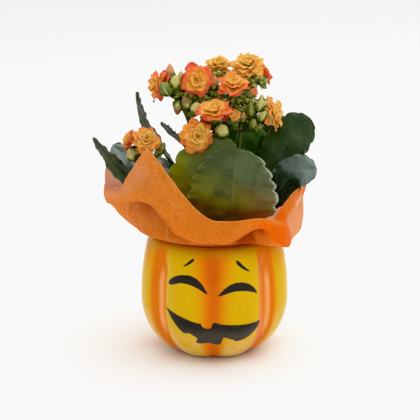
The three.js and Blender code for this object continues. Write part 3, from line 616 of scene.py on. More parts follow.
@dataclass(frozen=True)
class LeafFinish:
    """A fleshy green leaf with a waxy skin, faint veins and a paler rim that is a painted
    highlight.
    """

    name: str
    blade: Colour
    deep: Colour
    patch: Colour
    # rim: a painted highlight along the edge, also the colour of the fine freckles
    rim: Colour
    vein: Colour = srgb(128, 112, 84)
    patch_at: Pair = (0.55, 0.75)
    blush: Colour = srgb(104, 62, 38)
    blushing: float = 0.3
    roughness: float = 0.5
    bloom: float = 0.12
    # lean: how far the tones shift to the right and towards the tip; towards the tip it is painted
    # light and shade, a lit tip over a shaded foot
    lean: Pair = (0.0, 0.0)
    # how strong the painted rim highlight is on the left side
    left_highlight: float = 0.8
    gloss: float = 0.34

    def material(self) -> bpy.types.Material:
        """Builds the material."""
        graph = Graph(self.name)
        along, across = graph.attribute("along"), graph.attribute("across")
        wide = graph.math("ABSOLUTE", across)
        # The tones shift across the blade, and towards the tip as painted light and shade: a lit
        # tip over a shaded foot
        to_right, light_to_tip = self.lean
        cloud = graph.plus(graph.noise(95, 3, 0.6), graph.times(across, to_right))
        painted_light_to_tip = graph.times(graph.minus(along, 0.72), light_to_tip)
        cloud = graph.plus(cloud, painted_light_to_tip)
        colour = graph.blend(graph.span(cloud, 0.35, 0.68), self.deep, self.blade)
        low, high = self.patch_at
        leaning = graph.minus(graph.noise(52, 2), graph.times(across, 0.22))
        patches = graph.times(graph.span(leaning, low - 0.16, high), graph.span(along, 0.9, 0.35))
        colour = graph.blend(patches, colour, self.patch)
        near_foot = graph.times(graph.span(along, 0.75, 0.2), self.blushing)
        flushed = graph.span(graph.plus(across, graph.noise(40, 2)), 0.4, 1.1)
        colour = graph.blend(graph.times(near_foot, flushed), colour, self.blush)
        rib = graph.span(wide, 0.05, 0.0)
        branching = graph.times(along, 6.5)
        branching = graph.minus(branching, graph.times(wide, 2.6))
        branching = graph.math("PINGPONG", branching, 0.5)
        side_veins = graph.times(graph.span(branching, 0.07, 0.0), graph.span(wide, 0.92, 0.5))
        veins = graph.math("MAXIMUM", rib, graph.times(side_veins, 0.35))
        veins = graph.times(veins, graph.span(along, 1.0, 0.45, 0.15, 1))
        colour = graph.blend(graph.times(veins, 0.45), colour, self.vein)
        # Painted highlight along the rim, weaker on the left side
        strength = graph.span(across, -0.6, 0.2, self.left_highlight, 0.8)
        rim = graph.times(graph.span(wide, 0.94, 1.0), strength)
        colour = graph.blend(rim, colour, self.rim)
        freckles = graph.span(graph.noise(1300, 2), 0.55, 0.8, 0, 0.22)
        graph.paint(graph.blend(freckles, colour, self.rim))
        low, high = self.roughness - 0.08, self.roughness + 0.1
        graph.roughen(graph.span(graph.noise(150, 2), 0.3, 0.7, low, high))
        graph.set(Coat_Weight=self.bloom, Coat_Roughness=0.38, Subsurface_Weight=0.06)
        graph.set(Specular_IOR_Level=self.gloss)
        graph.set(Subsurface_Radius=(0.0008, 0.0014, 0.0004), Subsurface_Scale=1.0)
        graph.bump(graph.noise(210, 3), 0.22)
        graph.bump(veins, 0.25)
        return graph.material


@dataclass(frozen=True)
class StalkFinish:
    """Green fleshy stalks and calyces, and buds that ripen from green to tan and rose, with a brown
    stop that is tan deepened by painted shade.
    """

    young: Colour = srgb(118, 138, 46)
    green: Colour = srgb(80, 98, 32)
    shade: Colour = srgb(52, 64, 22)
    cream: Colour = srgb(196, 190, 112)
    # Painted shade: tan deepened to brown, for buds that lie in shade
    shaded_tan: Colour = srgb(128, 98, 58)
    tan: Colour = srgb(190, 142, 84)
    rose: Colour = srgb(214, 146, 96)

    def material(self) -> bpy.types.Material:
        """Builds the material."""
        graph = Graph("stalk_flesh")
        cloud = graph.noise(240, 3)
        flesh = graph.ramp(cloud, (0.3, self.shade), (0.52, self.green), (0.75, self.young))
        ripe = graph.attribute("ripe")
        drift = graph.drift(graph.noise(900, 2), 0.22)
        skin = graph.ramp(
            graph.plus(ripe, drift), (0.05, self.young), (0.3, self.cream), (0.5, self.shaded_tan),
            (0.72, self.tan), (1.0, self.rose),
        )
        graph.paint(graph.blend(graph.span(ripe, 0.02, 0.24), flesh, skin))
        graph.roughen(graph.span(cloud, 0.3, 0.7, 0.4, 0.55))
        graph.set(Subsurface_Weight=0.1, Coat_Weight=0.1, Coat_Roughness=0.3)
        graph.set(Subsurface_Radius=(0.001, 0.001, 0.0004), Subsurface_Scale=1.0)
        graph.bump(graph.noise(700, 3), 0.08)
        return graph.material


@dataclass(frozen=True)
class PetalFinish:
    """Soft thin petals, gold inside and coral at their edges."""

    gold: Colour = srgb(255, 227, 128)
    orange: Colour = srgb(255, 196, 92)
    salmon: Colour = srgb(255, 151, 92)
    coral: Colour = srgb(244, 108, 88)
    rim: Colour = srgb(255, 212, 184)
    see_through: float = 0.45

    def material(self) -> bpy.types.Material:
        """Builds the material."""
        graph = Graph("petals")
        across, along = graph.attribute("across"), graph.attribute("along")
        stripes = graph.noise(1, 2, vector=graph.combine(graph.times(across, 7), along))
        drift = graph.drift(stripes, 0.3)
        blush = graph.plus(graph.attribute("blush"), drift)
        colour = graph.ramp(
            blush, (0.05, self.gold), (0.38, self.orange), (0.68, self.salmon), (0.98, self.coral)
        )
        thin = graph.span(graph.math("ABSOLUTE", across), 0.86, 1.0, 0, 0.35)
        colour = graph.blend(thin, colour, self.rim)
        graph.paint(colour)
        graph.set(Roughness=0.5, Specular_IOR_Level=0.3, Sheen_Weight=0.12, Sheen_Roughness=0.4)
        graph.bump(stripes, 0.12)
        through = graph.translucent(colour)
        graph.end_with(graph.lay(self.see_through, graph.shader.outputs[0], through))
        return graph.material


@dataclass(frozen=True)
class FloorFinish:
    """A plain pale table top, with painted shade that deepens its tone away from the object, where
    less light falls.
    """

    near: Colour = srgb(247, 245, 243)
    # The floor's tone away from the object: painted shade
    far: Colour = srgb(238, 236, 234)
    near_reach: float = 0.3
    far_reach: float = 0.8

    def material(self) -> bpy.types.Material:
        """Builds the material."""
        graph = Graph("pale_floor")
        away = graph.nodes.new("ShaderNodeVectorMath")
        away.operation = "LENGTH"
        graph.join(graph.position(), away.inputs[0])
        # Painted shade that deepens the floor away from the object
        tone = graph.span(away.outputs["Value"], self.near_reach, self.far_reach)
        graph.paint(graph.blend(tone, self.near, self.far))
        graph.set(Roughness=0.8, Specular_IOR_Level=0.1)
        return graph.material


# The camera


@dataclass(frozen=True)
class PhotoCamera:
    """The camera that took the photograph, in millimetres, degrees and the photograph's pixels."""

    aim: Triple = (-2.7, 0.0, 85.0)
    elevation: float = 16.0
    distance: float = 850.0
    millimetres_per_pixel: float = 0.5986
    picture: float = 420.0
    sensor: float = 36.0

    @property
    def focus(self) -> float:
        """The focal length in pixels."""
        return self.distance / self.millimetres_per_pixel

    @cached_property
    def axes(self) -> tuple[np.ndarray, np.ndarray, np.ndarray, np.ndarray]:
        """The camera's place, and the directions to its right, up and back."""
        tilt = math.radians(self.elevation)
        back = np.array((0.0, -math.cos(tilt), math.sin(tilt)))
        up = np.array((0.0, math.sin(tilt), math.cos(tilt)))
        return np.array(self.aim) + back * self.distance, np.array((1.0, 0.0, 0.0)), up, back

    def pixels(self, points: np.ndarray) -> np.ndarray:
        """Where points in millimetres lie in the photograph.

        Args:
            points: One row of three numbers for each point.

        Returns:
            One row of two pixels for each point, counted from the upper left corner.
        """
        place, right, up, back = self.axes
        away = points - place
        depth = -(away @ back)
        middle = self.picture / 2
        return np.stack(
            (
                middle + self.focus * (away @ right) / depth,
                middle - self.focus * (away @ up) / depth,
            ),
            axis=1,
        )

    def build(self) -> bpy.types.Object:
        """Makes Blender's camera."""
        place, right, up, back = self.axes
        data = bpy.data.cameras.new("camera")
        data.lens = self.focus / self.picture * self.sensor
        data.sensor_width = self.sensor
        data.clip_start, data.clip_end = 0.05, 50
        camera = bpy.data.objects.new("camera", data)
        turn = Matrix((right, up, back)).transposed().to_4x4()
        camera.matrix_world = Matrix.Translation(Vector(place) * MM) @ turn
        bpy.context.scene.collection.objects.link(camera)
        bpy.context.scene.camera = camera
        return camera


# Cover pot


class Outline(Enum):
    """The painted face's outlines, in the photograph's pixels."""

    LEFT_BROW = (
        (182.0, 267.4), (185.6, 264.0), (189.6, 260.8), (192.4, 258.7), (194.2, 258.8),
        (194.3, 260.8), (191.2, 263.5), (187.2, 265.7),
    )
    RIGHT_BROW = (
        (235.6, 261.4), (237.0, 260.3), (239.6, 261.8), (243.0, 265.4), (247.0, 268.6),
        (250.6, 270.7), (249.4, 271.5), (246.0, 270.8), (241.2, 268.0), (237.0, 264.6),
    )
    LEFT_EYE = (
        (208.9, 295.8), (205.8, 290.2), (201.5, 283.6), (196.0, 278.4), (190.0, 275.5),
        (182.2, 274.9), (176.0, 275.8), (171.2, 278.2), (168.3, 281.4), (168.6, 283.8),
        (171.0, 284.9), (175.0, 284.2), (180.4, 283.1), (187.0, 284.2), (193.0, 286.4),
        (198.8, 289.3), (204.2, 293.2),
    )
    RIGHT_EYE = (
        (217.1, 297.2), (220.2, 293.4), (224.4, 289.2), (230.0, 285.0), (236.0, 282.8),
        (242.6, 282.2), (248.8, 283.6), (253.6, 286.6), (256.6, 290.8), (258.0, 295.2),
        (255.4, 292.8), (251.2, 291.8), (244.4, 291.1), (237.0, 291.4), (230.2, 292.8),
        (224.4, 295.0),
    )
    MOUTH = (
        (165.6, 306.0), (170.2, 310.0), (177.0, 314.6), (184.2, 318.3), (191.4, 321.4),
        (197.0, 323.2), (201.0, 323.6), (201.6, 326.2), (204.4, 328.0), (208.0, 328.9),
        (211.4, 328.0), (211.8, 325.2), (213.2, 322.8), (216.0, 323.0), (221.6, 324.6),
        (230.0, 325.1), (238.6, 325.0), (247.2, 324.0), (254.4, 322.1), (260.2, 319.6),
        (258.0, 325.8), (254.2, 331.0), (249.4, 335.6), (244.4, 338.8), (240.0, 340.4),
        (235.8, 341.5), (233.8, 340.0), (230.0, 339.2), (225.8, 337.8), (223.6, 337.4),
        (222.2, 340.6), (220.8, 343.8), (217.2, 344.8), (212.8, 343.9), (208.4, 342.9),
        (204.2, 343.3), (200.0, 343.7), (196.8, 343.0), (196.0, 341.2), (197.4, 339.4),
        (196.8, 337.8), (192.8, 335.4), (189.2, 333.2), (186.4, 333.5), (183.4, 333.0),
        (179.2, 329.2), (174.4, 323.0), (170.8, 317.0), (167.6, 310.4),
    )

    def depth(self, pixels: np.ndarray) -> np.ndarray:
        """How far inside the outline each pixel lies, in pixels, and below 0 outside it."""
        corners = np.array(self.value)
        nearest = np.full(len(pixels), 1e9)
        inside = np.zeros(len(pixels), bool)
        x, y = pixels[:, 0], pixels[:, 1]
        for (x1, y1), (x2, y2) in zip(corners, np.roll(corners, -1, axis=0)):
            dx, dy = x2 - x1, y2 - y1
            share = np.clip(((x - x1) * dx + (y - y1) * dy) / (dx * dx + dy * dy), 0, 1)
            gap = np.hypot(x - x1 - share * dx, y - y1 - share * dy)
            nearest = np.minimum(nearest, gap)
            crosses = (y1 > y) != (y2 > y)
            inside ^= crosses & (x < x1 + (y - y1) * dx / (dy if dy else 1e-9))
        return np.where(inside, nearest, -nearest)


@dataclass
class CoverPot:
    """The glazed pumpkin pot, with its lobes and its painted face."""

    height: float = 72.0
    foot_radius: float = 21.5
    belly_radius: float = 46.0
    belly_at: float = 0.49
    rim_radius: float = 36.2
    lower_roundness: float = 1.8
    upper_roundness: float = 2.2
    lobes: int = 8
    groove_depth: float = 5.2
    wall: float = 2.6
    floor: float = 4.5
    mouth_radius: float = 33.9
    columns: int = 384
    outer_rows: int = 120
    unpainted: float = -3.0
    finish: GlazeFinish = field(default_factory=GlazeFinish)
    camera: PhotoCamera = field(default_factory=PhotoCamera)

    def radius(self, share: float) -> float:
        """The radius of the lobes at a height, from 0 at the foot to 1 at the rim."""
        if share < self.belly_at:
            away = (self.belly_at - share) / self.belly_at
            power, end = self.lower_roundness, self.foot_radius
        else:
            away = (share - self.belly_at) / (1 - self.belly_at)
            power, end = self.upper_roundness, self.rim_radius
        return mix(end, self.belly_radius, (1 - min(1, away) ** power) ** (1 / power))

    def groove(self, angle: float) -> float:
        """How deep in a groove an angle lies, from 0 on a lobe to about 1."""
        return 1 - math.sqrt(math.sin(angle * self.lobes / 2) ** 2 + 0.008) ** 0.7

    def profile(self) -> list[Pair]:
        """The pot's section from its foot's middle, over its rim, to its well's middle."""
        rows = self.outer_rows
        outer = [0.5 - 0.5 * math.cos(math.pi * row / rows) for row in range(rows)]
        points = [(0.0, 0.4), (self.foot_radius - 3.4, 0.4), (self.foot_radius - 2.2, 0.0)]
        points += [(self.radius(share), share * self.height) for share in outer]
        lip = (self.rim_radius + self.mouth_radius) / 2
        reach = (self.rim_radius - self.mouth_radius) / 2
        for step in range(1, 8):
            turn = math.pi * step / 8
            points.append((lip + reach * math.cos(turn), self.height - 0.6 + 0.6 * math.sin(turn)))
        for share in (0.97, 0.9, 0.7, 0.5, 0.35, 0.25):
            wall = self.radius(share) - self.groove_depth - self.wall
            points.append((min(wall, self.mouth_radius), share * self.height))
        well = self.radius(0.06) - self.groove_depth - 1
        points += [(well + 1.5, self.floor + 2.2), (well, self.floor + 0.5), (well - 2, self.floor)]
        points.append((0.0, self.floor))
        return points

    def build(self) -> bpy.types.Object:
        """Turns the section, sinks the grooves and paints the face."""
        bm = bmesh.new()
        spun(bm, self.profile(), self.columns)
        layers = float_layers(bm, "groove", "thin", "ochre", "bare", "paint")
        front = []
        for vert in bm.verts:
            vert[layers["paint"]] = self.unpainted
            radius = math.hypot(vert.co.x, vert.co.y)
            share = limit(vert.co.z / self.height)
            outside = radius > self.radius(share) - 0.9 and radius > 1
            if not outside:
                continue
            angle = math.atan2(vert.co.y, vert.co.x) + math.pi / 2
            depth = self.groove_depth * min(1, max(0, 1 - share) / 0.2, 0.5 + share)
            sunk = 1 - depth * self.groove(angle) / radius
            vert.co.x *= sunk
            vert.co.y *= sunk
            # The spray's orange, and a pale line beside each side groove that is partly thinner
            # glaze and partly a painted highlight
            vert[layers["groove"]], vert[layers["thin"]] = self.spray(angle, share)
            vert[layers["ochre"]] = ease(0.9, 1.0, share)
            # Paler wash low on the pot, reaching higher at the sides: partly thinner glaze, partly
            # a painted reflection of the floor
            side = ease(0.75, 1.1, abs(math.remainder(angle, FULL_TURN)))
            vert[layers["bare"]] = ease(mix(0.4, 0.6, side), 0.06, share)
            if vert.co.y < 0:
                front.append(vert)
        pixels = self.camera.pixels(np.array([vert.co[:] for vert in front]))
        depths = np.max([outline.depth(pixels) for outline in Outline], axis=0)
        for vert, depth in zip(front, np.clip(depths, self.unpainted, -self.unpainted)):
            vert[layers["paint"]] = float(depth)
        return piece_of(bm, "pumpkin_pot_glazed", self.finish.material(), "glaze", "pumpkin_pot")

    def spray(self, angle: float, share: float) -> Pair:
        """How much orange lies at a place, and how much pale line, which is partly thinner glaze
        and partly a painted highlight.

        Args:
            angle: The angle from the front, in radians.
            share: The height, from 0 at the foot to 1 at the rim.

        Returns:
            The strength of the orange, and the strength of the pale line beside a groove.
        """
        step = 360 / self.lobes
        turned = (math.degrees(angle) + 180) % 360 - 180
        nearest = round(turned / step)
        away = abs(turned) - abs(nearest) * step
        if 2 * abs(nearest) == self.lobes:
            away = abs(away)
        if nearest == 0:
            shifted = (turned + 1.6) if turned < -1.6 else (turned + 1.6) * 0.98
            width = mix(9.5, 12.5, ease(0.5, 0.95, share))
            orange = math.exp(-((shifted / width) ** 2)) ** 0.9
            return orange * mix(0.88, 1.0, ease(0.45, 0.95, share)), 0.0
        right = nearest in (1, -2, 3)
        inner = -8.5 if right else -2.0
        reach = (6, 13) if right else (9, 17)
        orange = ease(inner - 2, inner + 1.5, away) * (1 - ease(*reach, away))
        # The pale line: partly thinner glaze, partly a painted highlight
        pale = math.exp(-(((away - 2.2) / 2.7) ** 2)) * ease(0.1, 0.35, share)
        pale *= ease(0.95, 0.68, share)
        if abs(turned) > 50:
            orange = max(orange, 0.5 * ease(0.66, 0.92, share))
        return orange * 0.78, pale * 0.78


# Nursery pot and potting mix


@dataclass
class NurseryPot:
    """The thin plastic pot that the plant grows in."""

    bottom: float = 6.2
    top: float = 67.0
    bottom_radius: float = 19.9
    top_radius: float = 30.4
    wall: float = 0.9
    rim_height: float = 5.0
    rim_step: float = 0.7
    columns: int = 96
    finish: PlasticFinish = field(default_factory=PlasticFinish)

    def radius(self, z: float) -> float:
        """The pot's outer radius at a height."""
        share = (z - self.bottom) / (self.top - self.bottom)
        return mix(self.bottom_radius, self.top_radius - self.rim_step, share)

    def build(self) -> bpy.types.Object:
        """Turns the pot's section."""
        under = self.top - self.rim_height
        rounded = 0.3
        profile = [
            (0, self.bottom), (self.radius(self.bottom) - rounded, self.bottom),
            (self.radius(self.bottom), self.bottom + rounded), (self.radius(under), under),
            (self.top_radius - 0.15, under + self.rim_step - 0.2),
            (self.top_radius, under + self.rim_step), (self.top_radius, self.top - rounded),
            (self.top_radius - rounded, self.top),
            (self.top_radius - self.wall + rounded, self.top),
            (self.top_radius - self.wall, self.top - rounded),
            (self.radius(self.top) - self.wall, under),
            (self.radius(self.bottom) - self.wall, self.bottom + self.wall),
            (0, self.bottom + self.wall),
        ]
        bm = bmesh.new()
        spun(bm, profile, self.columns)
        return piece_of(
            bm, "nursery_pot_moulded", self.finish.material(), "pot_plastic", "nursery_pot"
        )


@dataclass
class PottingMix:
    """The potting mix in the nursery pot, rough on top and strewn with grains."""

    pot: NurseryPot
    top: float = SOIL_TOP
    roughness: float = 1.3
    lump_scale: float = 0.35
    grains: int = 260
    pale_share: float = 0.14
    seed: int = 5
    finish: SoilFinish = field(default_factory=SoilFinish)

    def build(self) -> bpy.types.Object:
        """Makes the body and strews the grains."""
        rng = random.Random(self.seed)
        bm = bmesh.new()
        pale = bm.verts.layers.float.new("pale")
        floor = self.pot.bottom + self.pot.wall + CLEARANCE
        edge = self.pot.radius(self.top) - self.pot.wall - CLEARANCE
        rows = 26

        def place(vert: Vert, angle: float, share: float) -> None:
            """Puts a point on the mix: the underside, the wall and then the rough top."""
            row = round(share * rows)
            if row == 0:
                radius, z = 0.0, floor
            elif row == 1:
                radius, z = self.pot.radius(floor) - self.pot.wall - 0.5, floor
            elif row == 2:
                radius, z = edge, self.top - 1
            else:
                radius = edge * (1 - (row - 3) / (rows - 3)) * 0.995
                spot = Vector((radius * math.cos(angle), radius * math.sin(angle), 0))
                spot *= self.lump_scale
                z = self.top + self.roughness * noise.noise(spot)
                z += 0.5 * noise.noise(spot * 3)
            vert.co = (radius * math.cos(angle), radius * math.sin(angle), z)

        rolled(bm, 72, rows, place)
        for _ in range(self.grains):
            radius, angle = (edge - 1.2) * math.sqrt(rng.random()), rng.random() * FULL_TURN
            spot = Vector((radius * math.cos(angle), radius * math.sin(angle), 0))
            height = self.top + self.roughness * noise.noise(spot * self.lump_scale)
            made = bmesh.ops.create_icosphere(bm, subdivisions=1, radius=rng.uniform(0.35, 1.0))
            is_pale = 1.0 if rng.random() < self.pale_share else 0.0
            squash = rng.uniform(0.55, 1)
            for vert in made["verts"]:
                vert.co *= rng.uniform(0.8, 1.2)
                vert.co.z *= squash
                vert.co += spot + Vector((0, 0, height))
                vert[pale] = is_pale
        return piece_of(bm, "potting_mix", self.finish.material(), "potting_mix", "soil")


# Wrap


@dataclass(frozen=True)
class Station:
    """A section of the wrap: its tuck, its crease, its cut border, and how it hangs and bulges.

    The flap above the crease hangs over the layer under it by hang millimetres, and it bulges
    outwards by bulge millimetres between its crease and its border.
    """

    azimuth: float
    tuck: Triple
    crease: Triple
    border: Triple
    hang: float
    bulge: float
    corner: bool = False


STATIONS = (
    Station(-90, (0, -38, 75), (0.2, -44, 77.7), (-0.4, -47, 92.2), 4, 1),
    Station(-82, (6, -37.8, 75.2), (6.6, -44.8, 77.6), (5.8, -47.5, 91.9), 4.5, 1),
    Station(-75, (11.5, -36.8, 75.2), (12.1, -45.4, 79.9), (11.4, -47.5, 92.0), 7.5, 0.8),
    Station(-69, (16, -35, 75), (17.4, -45.4, 83.4), (16.5, -47.5, 92.6), 10, 0.8),
    Station(-62, (21, -33.4, 74.8), (23.0, -44.4, 86.2), (22.2, -47, 93.2), 10.5, 0.4),
    Station(-56, (27, -36, 75.2), (27.8, -42.6, 86.0), (26.7, -46, 93.2), 5, 0.4),
    Station(-51, (32.8, -37.6, 74.6), (33.2, -41.4, 82), (30.9, -44, 92.3), 0.4, 0.8),
    Station(-45, (37.2, -34, 72.8), (38.6, -37.8, 77.4), (36.2, -40, 90.2), 0.2, 1),
    Station(-38, (40.8, -27.4, 70.6), (42.4, -31.4, 71.6), (41.7, -33.4, 84.0), 0.3, 0.6),
    Station(-31, (40.5, -19, 70.6), (44.6, -26, 72.4), (41.4, -27.5, 83.2), 0.8, 0.3),
    Station(-24, (41.5, -14, 71), (46.0, -21, 73.3), (35.8, -24.5, 86.2), 0.5, 1),
    Station(-12, (43, -6, 74), (51.7, -9, 76.5), (39.9, -17, 92.7), 0.5, 1.4),
    Station(0, (43, 1, 75), (53.2, -1.5, 83.4), (48.2, -9.5, 100.0), 0.4, 1.0),
    Station(8, (42, 5, 75), (52.2, 3, 88.2), (54.9, -3.5, 102.2), 0.4, 0.4, True),
    Station(20, (38, 15, 75), (45.8, 16, 77.5), (51.5, 15.5, 83), 0.2, 0.3),
    Station(35, (33, 24, 75), (41, 28, 78.5), (44, 28, 86), 0.2, 0.5),
    Station(64, (17, 37, 75), (21, 45, 81), (21, 47, 92), 0.2, 0.6),
    Station(90, (0, 40, 75.5), (0, 50, 84), (0, 50, 97), 0.2, 0.6, True),
    Station(116, (-18, 37, 75), (-25, 44, 82), (-24, 45, 92), 0.2, 0.6),
    Station(138, (-32, 27, 75.5), (-42, 33, 84), (-43, 32, 93), 0.2, 0.6),
    Station(150, (-38, 20, 77), (-51, 25, 88), (-54, 24, 103), 0.2, 0.8),
    Station(160, (-42, 14, 78), (-57, 18, 92), (-61, 17, 109), 0.3, 0.8, True),
    Station(170, (-44, 7, 78), (-63.7, 10, 93.4), (-64.6, 11, 109.1), 0.4, 0.8),
    Station(179, (-45, 0, 78), (-65.4, 3, 94.1), (-65.6, 4, 101.9), 0.5, 0.6),
    Station(187, (-45.3, -7, 78), (-64.9, -3, 92.4), (-65.5, -3.5, 99.2), 0.6, 0.4),
    Station(195, (-45, -14, 77.5), (-63.0, -9, 91.8), (-60.7, -10, 100.0), 0.8, 0.6),
    Station(202, (-43, -19.5, 77.2), (-56.6, -16, 93.7), (-56.3, -15, 101.0), 1.6, 0.8),
    Station(209, (-40.5, -24.5, 77), (-49.7, -23, 96.4), (-51.4, -20.5, 109.0), 3, 0.9),
    Station(217, (-36, -28, 76.8), (-42.7, -30, 98.8), (-44.9, -26.5, 120.7), 4.5, 1),
    Station(225, (-31, -31, 76.5), (-37.0, -36, 98.3), (-37.9, -32, 130.5), 5.5, 1.2, True),
    Station(232, (-26.5, -33.5, 76), (-32.9, -40, 95.3), (-31.3, -36, 123.3), 6, 1.4),
    Station(240, (-21.5, -35.5, 75.5), (-28.6, -43, 90.8), (-24.5, -39.5, 114.6), 6.5, 1.6),
    Station(248, (-16, -36.8, 75.2), (-23.2, -44.5, 84.7), (-18.0, -42.3, 106.4), 6, 1.5),
    Station(255, (-10, -37.5, 75), (-16.4, -45, 81.0), (-11.5, -44.5, 99.3), 5, 1.3),
    Station(263, (-5, -38, 75), (-7.8, -44.5, 78.0), (-5.5, -46, 94.4), 4, 1.1),
)


@dataclass
class WrapSheet:
    """The sheet that is gathered round the nursery pot and flares out over the rim."""

    thickness: float = 0.35
    bottom: float = 5.25
    bottom_radius: float = 20.6
    neck_radius: float = 31.5
    neck_height: float = 65.0
    lip_radius: float = 32.9
    lip_height: float = 74.0
    flat: Pair = (165.0, 165.0)
    columns_each: int = 12
    inside_rows: int = 14
    flare_rows: tuple[int, ...] = (5, 7, 8, 7, 14, 13)
    stations: tuple[Station, ...] = STATIONS
    finish: WrapFinish = field(default_factory=WrapFinish)

    @cached_property
    def guides(self) -> dict[str, Path]:
        """The closed curves that the tuck, the crease and the border follow."""
        return {
            name: Path([getattr(station, name) for station in self.stations], closed=True)
            for name in ("tuck", "crease", "border")
        }

    def shade(self, hang: float, bulge: float, at: float) -> float:
        """How much painted shade the sheet gets under the flap's crease, in the hollow behind it
        and in the valley of a fold.

        Args:
            hang: How far the flap hangs over the layer under it.
            bulge: How far the flap bulges outwards.
            at: The place between the knots, from 0 at the lip to 6 at the border.
        """
        under = (0.25 * ease(0.8, 3, hang) + 0.6 * ease(5.5, 9.5, hang)) * ease(4.05, 3.8, at)
        under += 0.4 * ease(5, 7.5, hang) * ease(3.9, 4.0, at) * ease(4.5, 4.05, at)
        under += 0.6 * ease(2, 4.5, hang) * ease(1.7, 2.45, at) * ease(4.05, 3.9, at)
        valley = 0.75 * ease(-0.8, -2.4, bulge) * ease(3.6, 4.4, at) * ease(5.7, 5.0, at)
        return limit(under + valley)

    def knots(self, number: int, part: float) -> tuple[float, Vector, list[Vector], float, float]:
        """The section's knots between two stations.

        Args:
            number: The number of the station before.
            part: How far on towards the next station, from 0 to 1.

        Returns:
            The azimuth in radians, the direction out of the rim, the knots from lip to border,
            and how far the flap hangs over and bulges.
        """
        count = len(self.stations)
        here, following = self.stations[number], self.stations[(number + 1) % count]
        turn = following.azimuth + (360 if following.azimuth < here.azimuth else 0)
        azimuth = math.radians(mix(here.azimuth, turn, part))
        out = Vector((math.cos(azimuth), math.sin(azimuth), 0))
        lip = out * self.lip_radius + Vector((0, 0, self.lip_height))
        tuck, crease, border = (
            guide.point((number + part) / count) for guide in self.guides.values()
        )
        straight = Vector(here.border).lerp(Vector(following.border), part)
        if here.corner or following.corner:
            near = part if following.corner else 1 - part
            border = border.lerp(straight, ease(0, 0.8, near))
        hang = mix(here.hang, following.hang, ease(0, 1, part))
        bulge = mix(here.bulge, following.bulge, ease(0, 1, part))
        away = Vector((crease.x, crease.y, 0)).normalized()
        plain = tuck.lerp(crease, 0.75) + away * 0.4
        tucked = crease - away * hang + Vector((0, 0, 0.55 * min(hang, 4)))
        under = plain.lerp(tucked, min(1, hang))
        hollow = tuck.lerp(under, 0.5) + away * mix(1.2, -0.6, ease(1.5, 6, hang))
        belly = crease.lerp(border, 0.45) + away * bulge
        return azimuth, out, [lip, tuck, hollow, under, crease, belly, border], hang, bulge

    def section(self, number: int, part: float) -> list[tuple[Vector, float, float]]:
        """The sheet's section from the middle of the bottom to the border.

        Args:
            number: The number of the station before.
            part: How far on towards the next station, from 0 to 1.

        Returns:
            The places of the rows, how much each lies on the crushed layer under the flap, and how
            much painted shade it gets.
        """
        azimuth, out, knots, hang, bulge = self.knots(number, part)
        rows = [
            (self.inside(out, azimuth, row / self.inside_rows), 0.0, 0.0)
            for row in range(self.inside_rows + 1)
        ]
        spline = Path(knots)
        for span, steps in enumerate(self.flare_rows):
            for step in range(1, steps + 1):
                at = span + step / steps
                spot = spline.point(at / spline.spans)
                spot += self.wrinkle(spot, out, azimuth, at)
                rows.append((spot, 1 - ease(3.6, 4.2, at), self.shade(hang, bulge, at)))
        return rows

    def build(self) -> bpy.types.Object:
        """Lofts the sheet, folds it and gives it its thickness."""
        count = len(self.stations)
        sections = [
            self.section(number, part / self.columns_each)
            for number in range(count)
            for part in range(self.columns_each)
        ]
        rows = len(sections[0]) - 1
        columns = len(sections)
        wefts = []
        for section in sections:
            lengths = [0.0]
            for before, after in zip(section, section[1:]):
                lengths.append(lengths[-1] + (after[0] - before[0]).length)
            wefts.append(lengths)
        bm = bmesh.new()
        layers = float_layers(
            bm, "warp", "weft", "crushed", "shade", "doubled_and_glow", "sheer", "edge"
        )

        def place(vert: Vert, u: float, v: float) -> None:
            """Puts a point of the sheet in its place and marks where on the sheet it is."""
            column, row = round(u * columns), round(v * rows)
            spot, crushed, shade = sections[column % columns][row]
            vert.co = spot
            turn = math.atan2(spot.y, spot.x)
            vert[layers["warp"]] = 45 * abs(turn)
            vert[layers["weft"]] = wefts[column % columns][row]
            vert[layers["crushed"]] = mix(0.25, 1, crushed)
            vert[layers["shade"]] = shade
            # Sheer panels on the right and at the back left: thinner and clearer, and paler partly
            # as painted light shining through
            right = ease(0.6, 0.42, abs(turn))
            left = 0.4 * ease(2.3, 2.6, abs(turn)) * ease(0.72, 0.82, v)
            vert[layers["sheer"]] = right * ease(0.58, 0.68, v) * ease(0.92, 0.86, v) + left
            # Deeper orange in the fold, along the strip and low on the front flap: partly a doubled
            # sheet, partly a painted glow
            fold = ease(-1.2, -0.92, turn) * ease(0.55, 0.6, v) * ease(1.0, 0.84, v)
            fold += ease(-1.0, -0.86, turn) * ease(0.3, 0.42, v) * ease(0.6, 0.55, v)
            fold *= ease(-0.52, -0.74, turn)
            hem = 0.5 * right * ease(0.86, 0.92, v)
            hem += 0.9 * ease(-0.85, -0.72, turn) * ease(-0.36, -0.5, turn) * ease(0.6, 0.7, v)
            low = 0.2 * ease(106, 94, spot.z) * ease(-2.2, -1.9, turn) * ease(-0.9, -1.1, turn)
            vert[layers["doubled_and_glow"]] = limit(fold + hem + low)
            # Painted highlight along the cut border
            vert[layers["edge"]] = 1.0 if row == rows else 0.0

        verts = mapped_grid(bm, columns, rows, place)
        bmesh.ops.remove_doubles(bm, verts=verts, dist=MERGE_DISTANCE)
        piece = piece_of(bm, "wrap_sheet", self.finish.material(), "wrap_sheet", "wrap")
        solid = piece.modifiers.new("thickness", "SOLIDIFY")
        solid.thickness = self.thickness * MM
        solid.offset = 0
        return piece

